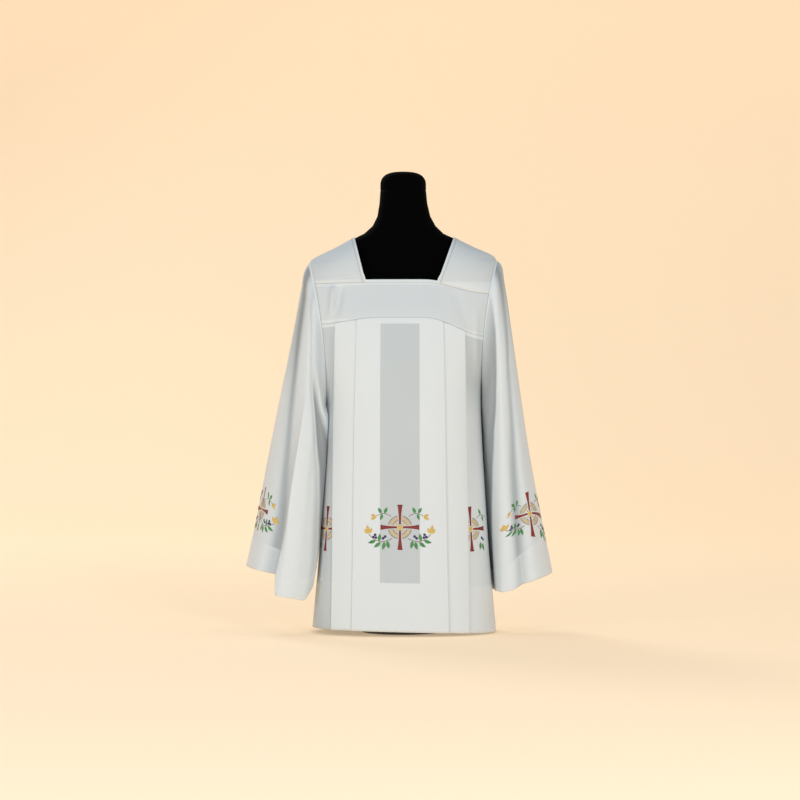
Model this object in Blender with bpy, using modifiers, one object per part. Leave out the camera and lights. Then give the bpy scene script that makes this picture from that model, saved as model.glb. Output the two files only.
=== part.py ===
"""A surplice on a limbless dress form.

Metres, +Z up, the front faces -Y, and the stand's underside lies on Z 0 round the origin. The garment is
sewn from a pleated front and back, two yoke strips, two shoulder pieces, two sleeves and a strip round its
square neck. Each is one thin wall through sections that are worked out from the sizes below.
"""

import math

import bpy
import numpy as np

# Cloth
GAP = 0.0003  # between pieces that meet face to face
SEAM = 0.0006  # between the middles of two walls that are sewn edge to edge, about 0.3 mm at their corners
WALL = 0.001
HEM_WALL = 0.0016  # where the hem is turned up and the cloth lies double
SEAM_SET = 0.0008  # how far a sleeve starts outside the armhole's edge, and more in the crease below
SEAM_CREASE = 0.0014

# Heights on the garment, and how far its level lines drop towards the sides
UNDERARM = {-1: 0.530, 1: 0.560}
SEAM_TOP = {"front": 0.8055, "back": 0.8300}  # yoke strip to shoulder pieces
SEAM_TOP_DROP = {"front": (0.002, 0.025), "back": (0.010, 0.014)}  # left and right
SEAM_LOW = {"front": 0.7250, "back": 0.7480}  # yoke strip to pleats
SEAM_LOW_DROP = {"front": (0.015, 0.043), "back": (0.014, 0.022)}
DROP_FROM, DROP_TO = 0.050, 0.195
HEM = 0.0105
HEM_SLOPE = 0.024  # the hem hangs a little lower on the right
HEM_SIDES = 0.0020  # and at both side seams

# Shoulder line, at the neck and out to the sleeve
SHOULDER_NECK = 0.9135
SHOULDER_AT = 0.115
SHOULDER_FALL = 0.540
SHOULDER_TILT = 0.025
SADDLE = 2.5  # how square the cloth turns over the shoulder

# Neck opening: half widths at the shoulder and at its lower edge, and the strip round it
NECK_TOP = {-1: 0.1100, 1: 0.1200}
NECK_LOW = {-1: 0.0830, 1: 0.0805}
NECK_STRIP = 0.0065
SADDLE_POINTS = 17  # over each shoulder

# Armholes: the highest and lowest points of each, in X and Z, and their half depth
ARMHOLE_TOP = {-1: (0.2125, 0.8560), 1: (0.2168, 0.8620)}
ARMHOLE_LOW = {-1: 0.1735, 1: 0.1835}
ARMHOLE_DEPTH = 0.070
ARMHOLE_BOW = 0.011

# Pleats: half width of the plain middle, then the two fold lines, at the yoke and at the hem
BODY_MIDDLE = 0.005
PLEAT_MIDDLE = -0.0046
PLEAT_INNER = (0.0440, 0.0450)
PLEAT_FOLDS = ((0.0980, 0.1085), (0.1480, 0.1555))
PLEAT_PITCH = (0.0016, 0.0024)  # from layer to layer
ROUNDING = 2.6  # exponent of the body's sections


class Table:
    """Sizes in rows under named columns. Values between rows lie on a smooth cubic through them."""

    def __init__(self, names, *rows):
        columns = np.array(rows, float).T
        self.key = columns[0]
        self.columns = dict(zip(names.split()[1:], columns[1:]))

    def at(self, name, key):
        """Cubic Hermite of the column at key, with each row's slope taken from its neighbours."""
        values = self.columns[name]
        slopes = np.gradient(values, self.key)
        key = np.clip(key, self.key[0], self.key[-1])
        i = np.clip(np.searchsorted(self.key, key) - 1, 0, len(self.key) - 2)
        span = self.key[i + 1] - self.key[i]
        t = (key - self.key[i]) / span
        return (
            values[i] * (1 + 2 * t) * (1 - t) ** 2
            + slopes[i] * span * t * (1 - t) ** 2
            + values[i + 1] * t**2 * (3 - 2 * t)
            + slopes[i + 1] * span * t**2 * (t - 1)
        )


# The body below the armholes, and how far the front and back stand from the shoulder line
BODY = Table(
    "height half_width front back",
    (0.000, 0.2130, 0.1380, 0.1300),
    (0.130, 0.2010, 0.1350, 0.1260),
    (0.270, 0.1900, 0.1310, 0.1220),
    (0.420, 0.1810, 0.1270, 0.1170),
    (0.560, 0.1785, 0.1220, 0.1120),
    (0.680, 0.1860, 0.1130, 0.1060),
    (0.760, 0.1980, 0.1000, 0.1000),
    (0.830, 0.2100, 0.0850, 0.0880),
)


def armhole_row(side):
    """A sleeve's first section, just outside the armhole."""
    top_x, top_z = ARMHOLE_TOP[side]
    return top_x + SEAM_SET, top_z, ARMHOLE_LOW[side] + SEAM_CREASE, UNDERARM[side], ARMHOLE_DEPTH, 0, 0


# Sleeves: outer and inner line of each, from the armhole to the cuff, with the half depth of the section
# there, how far its front leans towards the body, and how far it laps over the body's side
SLEEVES = {
    -1: Table(
        "run outer_x outer_z inner_x inner_z half_depth lean lap",
        (0.00, *armhole_row(-1)),
        (0.04, 0.2240, 0.8380, 0.1764, 0.506, 0.0760, 0.000, 0.0090),
        (0.12, 0.2330, 0.7930, 0.1808, 0.456, 0.0810, 0.006, 0.0100),
        (0.30, 0.2530, 0.6840, 0.1865, 0.386, 0.0860, 0.012, 0.0118),
        (0.50, 0.2800, 0.5460, 0.1915, 0.312, 0.0910, 0.016, 0.0115),
        (0.70, 0.3080, 0.3900, 0.1970, 0.238, 0.0960, 0.018, 0.0100),
        (0.86, 0.3320, 0.2580, 0.2040, 0.178, 0.1010, 0.018, 0.0115),
        (1.00, 0.3570, 0.1500, 0.2130, 0.116, 0.1060, 0.014, 0.0120),
    ),
    1: Table(
        "run outer_x outer_z inner_x inner_z half_depth lean lap",
        (0.00, *armhole_row(1)),
        (0.04, 0.2290, 0.8500, 0.1866, 0.538, 0.0760, 0.000, 0.0080),
        (0.12, 0.2370, 0.8040, 0.1900, 0.488, 0.0810, -0.006, 0.0090),
        (0.30, 0.2500, 0.7000, 0.1945, 0.412, 0.0850, -0.014, 0.0088),
        (0.50, 0.2680, 0.5700, 0.1995, 0.332, 0.0890, -0.016, 0.0100),
        (0.70, 0.2900, 0.4260, 0.2055, 0.252, 0.0940, -0.014, 0.0135),
        (0.86, 0.3170, 0.2860, 0.2120, 0.174, 0.0990, -0.009, 0.0200),
        (1.00, 0.3480, 0.1400, 0.2190, 0.095, 0.1040, -0.002, 0.0240),
    ),
}
SLEEVE_HEM = 0.915  # the run at which the cuff's turned-up hem begins
SLEEVE_RUNS = (0.0, 0.03, 0.08, 0.16, 0.27, 0.39, 0.52, 0.65, 0.78, 0.88, 0.911, SLEEVE_HEM, 1.0)
SLEEVE_COLUMNS = 36
LAP_AT = {-1: 140, 1: 220}  # degrees round the sleeve: in front of the body on the left, behind it on the right
LAP_BREADTH = 18
LAP_BELOW = (0.034, 0.001)  # below the underarm, where the lap is whole and where it begins

# Folds that hang down each sleeve: where they lie round it in degrees (90 is the front), how deep, how broad
# and the run at which they start
FOLDS = {
    -1: (
        dict(top=62, cuff=70, depth=-0.021, breadth=14, starts=0.10),
        dict(top=96, cuff=98, depth=0.006, breadth=14, starts=0.05),
        dict(top=124, cuff=122, depth=0.006, breadth=20, starts=0.05),
        dict(top=150, cuff=150, depth=0.006, breadth=20, starts=0.0),
        dict(top=290, cuff=282, depth=-0.014, breadth=17, starts=0.12),
        dict(top=236, cuff=240, depth=-0.009, breadth=14, starts=0.35),
    ),
    1: (
        dict(top=84, cuff=96, depth=-0.017, breadth=15, starts=0.12),
        dict(top=124, cuff=132, depth=0.006, breadth=14, starts=0.20),
        dict(top=284, cuff=276, depth=-0.015, breadth=17, starts=0.10),
        dict(top=232, cuff=228, depth=-0.008, breadth=14, starts=0.40),
    ),
}
FOLD_GROWTH = 0.7  # exponent of a fold's depth along the sleeve
# The flap at the front of each cuff that hangs lower: where round the sleeve it begins, is whole, begins to
# end and ends, and how much lower it hangs
CUFF_FLAP = {-1: (77, 85, 133, 147, 0.044), 1: (100, 120, 128, 150, 0.004)}
FLAP_RUN = 0.55  # the run from which the flap is drawn lower

# Dress form, each side and face from its middle line
FORM_CLEAR = 0.0004  # between the form's shoulders and the cloth that rests on them
FORM_TIP = {-1: 0.1980, 1: 0.2040}
FORM_NECK = 0.0028
FORM = Table(
    "height left right front back rounding",
    (0.160, 0.1280, 0.1280, 0.0740, 0.0760, 2.3),
    (0.172, 0.1430, 0.1430, 0.0850, 0.0880, 2.3),
    (0.190, 0.1500, 0.1500, 0.0900, 0.0930, 2.3),
    (0.270, 0.1600, 0.1600, 0.0970, 0.0980, 2.3),
    (0.370, 0.1480, 0.1480, 0.0940, 0.0920, 2.3),
    (0.470, 0.1270, 0.1270, 0.0870, 0.0820, 2.3),
    (0.570, 0.1380, 0.1380, 0.0960, 0.0850, 2.3),
    (0.660, 0.1560, 0.1560, 0.0980, 0.0890, 2.3),
    (0.740, 0.1700, 0.1700, 0.0850, 0.0860, 2.2),
    (0.800, 0.1850, 0.1880, 0.0730, 0.0780, 2.1),
    (0.840, 0.1960, 0.2030, 0.0660, 0.0700, 2.0),
)
FORM_RINGS = 14
FORM_SHOULDERS = ((0.858, 0.0630, 0.0660), (0.880, 0.0600, 0.0620), (0.900, 0.0580, 0.0590))
FORM_NECKS = (
    (0.922, 0.0880, 0.0960, 0.0580, 0.0600),
    (0.940, 0.0690, 0.0770, 0.0560, 0.0580),
    (0.962, 0.0590, 0.0640, 0.0545, 0.0560),
    (0.992, 0.0550, 0.0560, 0.0535, 0.0540),
    (1.0215, 0.0530, 0.0530, 0.0530, 0.0530),
)
CAP_RADIUS = 0.0530
CAP_TOP = 1.0650
CAP_SIDE = 0.30  # share of its height that is upright
CAP_SQUARE = 0.62  # exponents of the dome's width and rise
CAP_CROWN = 0.90
POLE_RADIUS = 0.0140
BASE_RADIUS = 0.1000
BASE_HEIGHT = 0.0140
BASE_FOOT = 0.0070  # bevel under the edge
COLLAR_RADIUS = 0.0240
COLLAR_HEIGHT = 0.0340

CLOTH = ((0.90, 0.91, 0.90), 0.75)  # colour and roughness
BLACK = ((0.006, 0.006, 0.008), 0.95)
STEEL = ((0.05, 0.05, 0.055), 0.40)


def smooth(values, low, high):
    """0 below low, 1 above high, and a soft step between them."""
    t = np.clip((values - low) / (high - low), 0, 1)
    return t * t * (3 - 2 * t)


def bell(degrees, breadth):
    """1 at 0 degrees, falling away evenly to both sides."""
    return np.exp(-(((degrees + 180) % 360 - 180) / breadth) ** 2)


def level(heights, drops, x):
    """Height at x of a line that runs level across the middle and drops by its own amount to each side."""
    left, right = drops
    drop = np.where(x < 0, left, right)
    return heights - drop * smooth(np.abs(x), DROP_FROM, DROP_TO)


def shoulder(x):
    """Height of the shoulder line at x."""
    return SHOULDER_NECK - SHOULDER_FALL * (np.abs(x) - SHOULDER_AT) + SHOULDER_TILT * x


def hem(x):
    """Height of the hem at x."""
    return HEM - HEM_SLOPE * x - HEM_SIDES * smooth(np.abs(x), 0.090, 0.205)


def armhole(side, z):
    """The armhole's X and half depth at a height: half an oval in each face, bowed in towards the body."""
    top_x, top_z = ARMHOLE_TOP[side]
    share = np.clip((z - UNDERARM[side]) / (top_z - UNDERARM[side]), 0, 1)
    sine = np.sqrt(np.clip(1 - (2 * share - 1) ** 2, 0, 1))
    x = ARMHOLE_LOW[side] + (top_x - ARMHOLE_LOW[side]) * share - ARMHOLE_BOW * sine**2
    return x, ARMHOLE_DEPTH * sine


def body_half_width(face, side, z):
    """Half width of the whole section at z: the table's below the armhole, what its edge needs above."""
    depth = BODY.at(face, z)
    x, y = armhole(side, z)
    fullness = (1 - (np.clip(y / depth, 0, 0.97)) ** ROUNDING) ** (1 / ROUNDING)
    above = (x - side * BODY_MIDDLE) / fullness
    return np.where(z > UNDERARM[side], above, BODY.at("half_width", z))


def edge_angle(face, side, z):
    """Where a panel ends round its section: at the side seam, or sooner along the armhole."""
    _, y = armhole(side, z)
    share = np.where(z > UNDERARM[side], y / BODY.at(face, z), 0)
    return np.arccos(np.clip(share, 0, 1) ** (ROUNDING / 2))


def angle_at(face, side, z, x):
    """Where x lies round the section of that height, for an x measured from the body's middle."""
    share = np.clip(np.abs(x) / body_half_width(face, side, z), 0, 1)
    return np.arcsin(share ** (ROUNDING / 2))


def body_points(face, side, z, angle, out):
    """Points on the body's section: |x/w|^n + |y/d|^n = 1, moved out along its normal by out."""
    power = 2 / ROUNDING
    width = body_half_width(face, side, z) + 0 * angle
    depth = BODY.at(face, z) + 0 * angle
    sine = np.clip(np.sin(angle), 1e-6, 1)
    cosine = np.clip(np.cos(angle), 1e-6, 1)
    x, y = width * sine**power, depth * cosine**power
    normal_x = (x / width) ** (ROUNDING - 1) / width
    normal_y = (y / depth) ** (ROUNDING - 1) / depth
    length = np.hypot(normal_x, normal_y)
    forward = -1 if face == "front" else 1
    return np.stack(
        [
            BODY_MIDDLE + side * (x + out * normal_x / length),
            forward * (y + out * normal_y / length),
            z + 0 * angle,
        ],
        axis=-1,
    )


def new_object(name, vertices, faces, finish):
    colour, roughness = finish
    mesh = bpy.data.meshes.new(name)
    mesh.from_pydata(vertices.reshape(-1, 3).tolist(), [], faces)
    mesh.shade_smooth()
    material = bpy.data.materials.new(name)
    material.use_nodes = True
    shader = material.node_tree.nodes["Principled BSDF"]
    shader.inputs["Base Color"].default_value = (*colour, 1)
    shader.inputs["Roughness"].default_value = roughness
    mesh.materials.append(material)
    piece = bpy.data.objects.new(name, mesh)
    parts.objects.link(piece)
    return piece


def grid_faces(rows, columns, closed=False):
    """Quads between the rows and columns of a grid, its last column joined to its first where closed."""
    across = columns if closed else columns - 1
    row, column = np.meshgrid(np.arange(rows - 1), np.arange(across), indexing="ij")
    after = (column + 1) % columns
    here, below = row * columns, (row + 1) * columns
    corners = [here + column, here + after, below + after, below + column]
    return np.stack(corners, axis=-1).reshape(-1, 4).tolist()


def cloth(name, grid, closed=False, double=None, thick=WALL):
    """A wall of cloth centred on a grid of points, thicker on the rows where it lies double."""
    rows, columns, _ = grid.shape
    piece = new_object(name, grid, grid_faces(rows, columns, closed), CLOTH)
    wall = piece.modifiers.new("wall", "SOLIDIFY")
    wall.thickness = thick
    wall.offset = 0
    wall.use_even_offset = True
    if double is not None:
        wall.thickness = HEM_WALL
        group = piece.vertex_groups.new(name="turned_up")
        turned = np.flatnonzero(np.repeat(double, columns))
        group.add(turned.tolist(), 1, "REPLACE")
        wall.vertex_group = group.name
        wall.thickness_vertex_group = WALL / HEM_WALL
    return piece


def pleat_path(z_share):
    """Half of a pleated row: distances from the middle, and how far out the cloth lies at each.

    Outwards from the middle the cloth runs to a fold, turns under and back, turns again and runs on
    beneath, twice over. Each turn is half a circle from one layer to the next.
    """
    pitch = PLEAT_PITCH[0] + (PLEAT_PITCH[1] - PLEAT_PITCH[0]) * z_share
    folds = [top + (low - top) * z_share for top, low in PLEAT_FOLDS]
    inner = [PLEAT_INNER[0] + (PLEAT_INNER[1] - PLEAT_INNER[0]) * z_share, folds[0]]
    radius = pitch / 2
    turn = np.radians([90, 30, -30, -90])
    place, layer = [0.0, 0.5 * folds[0]], [4.0, 4.0]
    top = 4.0
    for fold, back in zip(folds, inner):
        place += list(fold - radius + radius * np.cos(turn))
        layer += list(top - 0.5 + 0.5 * np.sin(turn))
        place.append((fold + back) / 2)
        layer.append(top - 1)
        place += list(back + 2 * radius - radius * np.cos(turn))
        layer += list(top - 1.5 + 0.5 * np.sin(turn))
        top -= 2
    place.append(folds[1] - 0.3 * (folds[1] - folds[0]))
    layer.append(0.0)
    return np.array(place), np.array(layer) * pitch


SIDE_SHARES = (0.12, 0.30, 0.50, 0.68, 0.84, 1.0)  # on from the last pleat to the panel's edge
HEM_SHARE = 0.848  # of the way down a panel, where its turned-up hem begins
PANEL_ROWS = (0.0, 0.12, 0.26, 0.40, 0.54, 0.67, 0.775, HEM_SHARE - 0.003, HEM_SHARE, 0.925, 1.0)
NEAR_EDGE = 0.190  # distance from the middle at which a row's edge is first looked for


def seam_top(face, x):
    return level(SEAM_TOP[face], SEAM_TOP_DROP[face], x)


def seam_low(face, x):
    return level(SEAM_LOW[face], SEAM_LOW_DROP[face], x)


def panel_height(face, share):
    """Height on a pleated panel as a function of X, share of the way from its seam to its hem."""
    return lambda x: (seam_low(face, x) - SEAM / 2) * (1 - share) + hem(x) * share


def half_row(face, side, height, place, out, shares):
    """One side of a row: points at the given places from the body's middle, then shares of the way on.

    Height depends on X and the edge on height, so the row settles in a few passes.
    """
    z = height(BODY_MIDDLE + side * np.concatenate([place, NEAR_EDGE + 0 * shares]))
    for _ in range(4):
        angle = angle_at(face, side, z[: len(place)], place)
        last = edge_angle(face, side, z[-1])
        angle = np.concatenate([angle, angle[-1] + (last - angle[-1]) * shares])
        points = body_points(face, side, z, angle, out)
        z = height(points[:, 0])
    points[:, 2] = z
    forward = -1 if face == "front" else 1
    if abs(points[-1, 1]) < GAP:
        points[-1, 1] = forward * GAP / 2
    return points


def whole_row(face, halves):
    left, right = halves
    row = np.concatenate([left[:0:-1], right])
    return row if face == "front" else row[::-1]


def pleated_panel(face):
    """The front or back below its yoke strip, from armhole and side seam to side seam."""
    rows = []
    for share in PANEL_ROWS:
        halves = []
        for side in (-1, 1):
            place, out = pleat_path(share)
            place = place + side * (PLEAT_MIDDLE - BODY_MIDDLE)
            shares = np.array(SIDE_SHARES)
            out = np.concatenate([out, 0 * shares])
            halves.append(half_row(face, side, panel_height(face, share), place, out, shares))
        middle = (halves[0][0] + halves[1][0]) / 2
        halves[0][0] = halves[1][0] = middle
        rows.append(whole_row(face, halves))
    return cloth(f"body_{face}", np.array(rows), double=np.array(PANEL_ROWS) >= HEM_SHARE)


def yoke_out(face, x, z):
    """How far a yoke strip stands out: over the pleats' layers along its lower seam, flush at its top."""
    across = 1 - smooth(np.abs(x - PLEAT_MIDDLE), 0.070, 0.175)
    return 4 * PLEAT_PITCH[0] * across * (1 - smooth(z, SEAM_LOW[face], SEAM_TOP[face]))


def yoke_strip(face):
    """The strip between the two seams, from armhole to armhole."""
    place = np.linspace(0, 0.16, 12)
    shares = np.array([0.25, 0.5, 0.75, 1.0])
    rows = []
    for share in (0.0, 0.5, 1.0):

        def height(x):
            return (seam_top(face, x) - SEAM / 2) * (1 - share) + (seam_low(face, x) + SEAM / 2) * share

        halves = []
        for side in (-1, 1):
            x = BODY_MIDDLE + side * np.concatenate([place, NEAR_EDGE + 0 * shares])
            halves.append(half_row(face, side, height, place, yoke_out(face, x, height(x)), shares))
        rows.append(whole_row(face, halves))
    return cloth(f"yoke_{face}", np.array(rows))


def saddle(side, across, over, inset=0.0):
    """Points over one shoulder.

    across runs from the neck's edge, less inset, at 0 to the armhole at 1. over runs from the front seam at
    -1 over the shoulder line at 0 to the back seam at 1, on |y/d|^n + |z/h|^n = 1 above each seam.
    """
    face_front = over < 0
    turn = np.abs(over) * math.pi / 2
    rise = np.cos(turn) ** (2 / SADDLE)
    reach = np.sin(turn) ** (2 / SADDLE)
    result = np.zeros((*np.broadcast(across, over).shape, 3))
    for face in ("front", "back"):
        here = face_front if face == "front" else ~face_front
        forward = -1 if face == "front" else 1
        # Along the seam below, and along the shoulder line above
        edge_x, _ = armhole(side, seam_top(face, side * ARMHOLE_TOP[side][0]))
        low_x = NECK_LOW[side] - inset + (edge_x - NECK_LOW[side] + inset) * across
        low_z = seam_top(face, side * low_x) + SEAM / 2
        angle = angle_at(face, side, low_z, low_x - side * BODY_MIDDLE)
        low = body_points(face, side, low_z, angle, 0 * low_x)
        top_x = NECK_TOP[side] - inset + (ARMHOLE_TOP[side][0] - NECK_TOP[side] + inset) * across
        top_z = np.where(across > 0.999, ARMHOLE_TOP[side][1], shoulder(side * top_x))
        z = low_z + (top_z - low_z) * rise
        x = low_x + (top_x - low_x) * rise
        y = np.abs(low[..., 1]) * reach
        # Near the armhole the curve leans into the armhole's own line
        arm_x, arm_y = armhole(side, z)
        pull = across**4
        x = x + (arm_x - x) * pull
        y = y + (arm_y - y) * pull
        points = np.stack([side * x, forward * y, z], axis=-1)
        result = np.where(here[..., None], points, result)
    return result


def shoulder_piece(side, name):
    across, over = np.meshgrid(np.linspace(0, 1, 8), np.linspace(-1, 1, SADDLE_POINTS), indexing="ij")
    grid = saddle(side, across, over, inset=-NECK_STRIP - GAP)
    if side < 0:
        grid = grid[::-1]
    return cloth(name, grid)


def neck_strip():
    """The strip round the neck's edge: over each shoulder, and along the top of the front and back yoke."""
    over = np.linspace(-1, 1, SADDLE_POINTS)
    along = np.linspace(0, 1, 11)[1:-1]
    edges = []
    for inset, rise in ((0.0, NECK_STRIP), (-NECK_STRIP, 0.0)):
        right = saddle(1, np.zeros_like(over), over, inset)
        left = saddle(-1, np.zeros_like(over), over[::-1], inset)
        runs = []
        for face, start, end in (("back", right[-1, 0], left[0, 0]), ("front", left[-1, 0], right[0, 0])):
            x = start + (end - start) * along
            z = seam_top(face, x) + SEAM / 2 + rise
            points = []
            for place, height in zip(x, z):
                side = -1 if place < BODY_MIDDLE else 1
                angle = angle_at(face, side, height, abs(place - BODY_MIDDLE))
                points.append(body_points(face, side, height, angle, 0.0))
            runs.append(np.array(points))
        for side_run in (right, left):
            side_run[[0, -1], 2] += rise
        edges.append(np.concatenate([right, runs[0], left, runs[1]]))
    return cloth("neck_strip", np.array(edges), closed=True, thick=HEM_WALL)


def fold_offsets(side, run, degrees):
    """Sum of the sleeve's folds, outwards, and how far its cuff's flap hangs lower.

    Each fold is a soft bell round the sleeve that deepens towards the cuff.
    """
    out = 0 * run * degrees
    for fold in FOLDS[side]:
        centre = fold["top"] + (fold["cuff"] - fold["top"]) * run
        near = bell(degrees - centre, fold["breadth"])
        out = out + fold["depth"] * near * smooth(run, fold["starts"], 1.0) ** FOLD_GROWTH
    begins, whole, falls, ends, drop = CUFF_FLAP[side]
    flap = smooth(degrees, begins, whole) * (1 - smooth(degrees, falls, ends))
    return out, drop * flap * smooth(run, FLAP_RUN, 1.0)


def sleeve_points(side, run, degrees):
    """Points on a sleeve. Round it, 0 is the outer line, 90 the front, 180 the inner line and 270 the back.

    Each section is an oval between the outer and inner line, P = middle + half cos a + depth sin a, leaned
    so that its front swings towards the body, with the folds added along its own normal.
    """
    table = SLEEVES[side]
    angle = np.radians(degrees)
    outer_x, outer_z = table.at("outer_x", run), table.at("outer_z", run)
    inner_x, inner_z = table.at("inner_x", run), table.at("inner_z", run)
    depth = table.at("half_depth", run)
    cosine, sine = np.cos(angle), np.sin(angle)
    share = (1 + cosine) / 2
    x = inner_x + (outer_x - inner_x) * share - ARMHOLE_BOW * sine**2 * (1 - smooth(run, 0.0, 0.25))
    z = inner_z + (outer_z - inner_z) * share
    y = -depth * sine
    x = x - table.at("lean", run) * sine
    lap = table.at("lap", run) * bell(degrees - LAP_AT[side], LAP_BREADTH)
    x = x - lap * (1 - smooth(z - UNDERARM[side], -LAP_BELOW[0], -LAP_BELOW[1]))
    length = np.hypot(outer_x - inner_x, outer_z - inner_z) / 2
    across = np.stack([outer_x - inner_x, 0 * outer_x, outer_z - inner_z], -1) / (2 * length[..., None])
    normal_u, normal_v = cosine / length, sine / depth
    size = np.hypot(normal_u, normal_v)
    push, down = fold_offsets(side, run, degrees)
    normal = across * (normal_u / size)[..., None]
    normal[..., 1] -= normal_v / size
    points = np.stack([x, y, z], -1) + normal * push[..., None]
    points[..., 0] *= side
    points[..., 2] -= down
    return points


def sleeve(side, name):
    runs = np.array(SLEEVE_RUNS)
    run, degrees = np.meshgrid(runs, np.arange(0, 360, 360 / SLEEVE_COLUMNS), indexing="ij")
    grid = sleeve_points(side, run, degrees)
    if side > 0:
        grid = grid[:, ::-1]
    return cloth(name, grid, closed=True, double=runs >= SLEEVE_HEM)


def form_ring(height, left, right, front, back, rounding, count=32):
    """One level section of the form, with its own half width or depth to each side."""
    angle = np.radians(np.arange(count) * 360 / count)
    cosine, sine = np.cos(angle), np.sin(angle)
    power = 2 / rounding
    width = np.where(cosine < 0, left, right)
    depth = np.where(sine < 0, front, back)
    x = width * np.sign(cosine) * np.abs(cosine) ** power
    y = depth * np.sign(sine) * np.abs(sine) ** power
    return np.stack([x, y, height + 0 * x], -1)


def form_torso():
    """Loft of level sections from the hips to the neck, with the shoulders set just under the cloth."""
    rings = []
    for height in np.concatenate([[0.160, 0.172], np.linspace(0.190, 0.840, FORM_RINGS - 2)]):
        sizes = [float(FORM.at(name, height)) for name in ("left", "right", "front", "back", "rounding")]
        rings.append(form_ring(height, *sizes))
    for height, front, back in FORM_SHOULDERS:
        # Half width at which the shoulder line has this height
        line = SHOULDER_NECK + SHOULDER_FALL * SHOULDER_AT - WALL / 2 - FORM_CLEAR - height
        left = min(line / (SHOULDER_FALL + SHOULDER_TILT), FORM_TIP[-1])
        right = min(line / (SHOULDER_FALL - SHOULDER_TILT), FORM_TIP[1])
        rings.append(form_ring(height, left, right, front, back, 2.0))
    for height, left, right, front, back in FORM_NECKS:
        ring = form_ring(height, left, right, front, back, 2.0)
        ring[:, 0] += FORM_NECK * smooth(height, 0.90, 1.0)
        rings.append(ring)
    grid = np.array(rings)
    rows, columns, _ = grid.shape
    faces = grid_faces(rows, columns, closed=True)
    faces.append(list(range(columns))[::-1])
    faces.append([(rows - 1) * columns + i for i in range(columns)])
    return new_object("form_torso", grid, faces, BLACK)


def turned(name, profile, finish, place=(0, 0, 0), steps=40):
    """A shape turned about +Z from its profile of radius and height, top to bottom down the outer side."""
    points = np.array([(radius, 0, height) for radius, height in profile])
    mesh_edges = [(i, i + 1) for i in range(len(profile) - 1)]
    piece = new_object(name, points, [], finish)
    mesh = piece.data
    mesh.clear_geometry()
    mesh.from_pydata(points.tolist(), mesh_edges, [])
    screw = piece.modifiers.new("turn", "SCREW")
    screw.axis = "Z"
    screw.steps = steps
    screw.render_steps = steps
    screw.use_merge_vertices = True
    screw.merge_threshold = 0.0001
    piece.location = place
    return piece


def form_cap():
    """The neck's cap, a low dome whose side rounds into a flat top."""
    low = FORM_NECKS[-1][0] + GAP
    height = CAP_TOP - low
    side = low + CAP_SIDE * height
    profile = [(0, CAP_TOP)]
    for turn in np.radians(np.linspace(90, 0, 9))[1:]:
        radius = CAP_RADIUS * math.cos(turn) ** CAP_SQUARE
        profile.append((radius, side + (CAP_TOP - side) * math.sin(turn) ** CAP_CROWN))
    profile += [(CAP_RADIUS, low), (0, low)]
    return turned("form_cap", profile, BLACK, place=(FORM_NECK, 0, 0), steps=32)


def stand():
    top = FORM.key[0] - GAP
    turned(
        "form_pole",
        [(0, top), (POLE_RADIUS, top), (POLE_RADIUS, COLLAR_HEIGHT + GAP), (0, COLLAR_HEIGHT + GAP)],
        STEEL,
        steps=24,
    )
    edge = 0.003
    turned(
        "form_base",
        [
            (0, COLLAR_HEIGHT),
            (COLLAR_RADIUS - edge, COLLAR_HEIGHT),
            (COLLAR_RADIUS, COLLAR_HEIGHT - edge),
            (COLLAR_RADIUS, BASE_HEIGHT),
            (BASE_RADIUS - edge, BASE_HEIGHT),
            (BASE_RADIUS, BASE_HEIGHT - edge),
            (BASE_RADIUS, BASE_FOOT),
            (BASE_RADIUS - BASE_FOOT, 0),
            (0, 0),
        ],
        STEEL,
        steps=40,
    )


for old in list(bpy.data.objects):
    bpy.data.objects.remove(old, do_unlink=True)
parts = bpy.data.collections.new("surplice_on_dress_form")
bpy.context.scene.collection.children.link(parts)

for face in ("front", "back"):
    pleated_panel(face)
    yoke_strip(face)
shoulder_piece(-1, "shoulder_left")
shoulder_piece(1, "shoulder_right")
neck_strip()
sleeve(-1, "sleeve_left")
sleeve(1, "sleeve_right")
form_torso()
form_cap()
stand()
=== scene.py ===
"""Looks of a white pleated surplice on a black dress form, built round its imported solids."""

import math

import bpy
import numpy as np
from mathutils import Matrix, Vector


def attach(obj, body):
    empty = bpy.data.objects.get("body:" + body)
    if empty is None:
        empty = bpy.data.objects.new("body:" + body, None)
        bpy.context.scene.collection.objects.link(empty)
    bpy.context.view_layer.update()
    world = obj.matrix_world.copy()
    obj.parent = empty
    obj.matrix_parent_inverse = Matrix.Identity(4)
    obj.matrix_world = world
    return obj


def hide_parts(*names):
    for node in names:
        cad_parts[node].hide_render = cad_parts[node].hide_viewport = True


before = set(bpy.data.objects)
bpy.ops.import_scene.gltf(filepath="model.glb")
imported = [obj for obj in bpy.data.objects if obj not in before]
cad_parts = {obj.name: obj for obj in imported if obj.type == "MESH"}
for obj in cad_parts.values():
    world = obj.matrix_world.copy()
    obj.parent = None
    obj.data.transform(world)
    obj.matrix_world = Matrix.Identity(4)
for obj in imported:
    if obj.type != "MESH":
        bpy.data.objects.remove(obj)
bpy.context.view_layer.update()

# Cloth: the wall that shows is thinner than the solid's
WALL = 0.00045
HEM_WALL = 0.0009
SEAM = 0.0003  # open between two pieces that are sewn together
GAP = 0.0003  # between front and back at the side seams, and between the form's neck and cap

# The garment's own sizes, in metres: +Z up, front towards -Y. Sides are -1, the picture's left, and 1
FORWARD = {"front": -1, "back": 1}
UNDERARM = {-1: 0.530, 1: 0.560}
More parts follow.
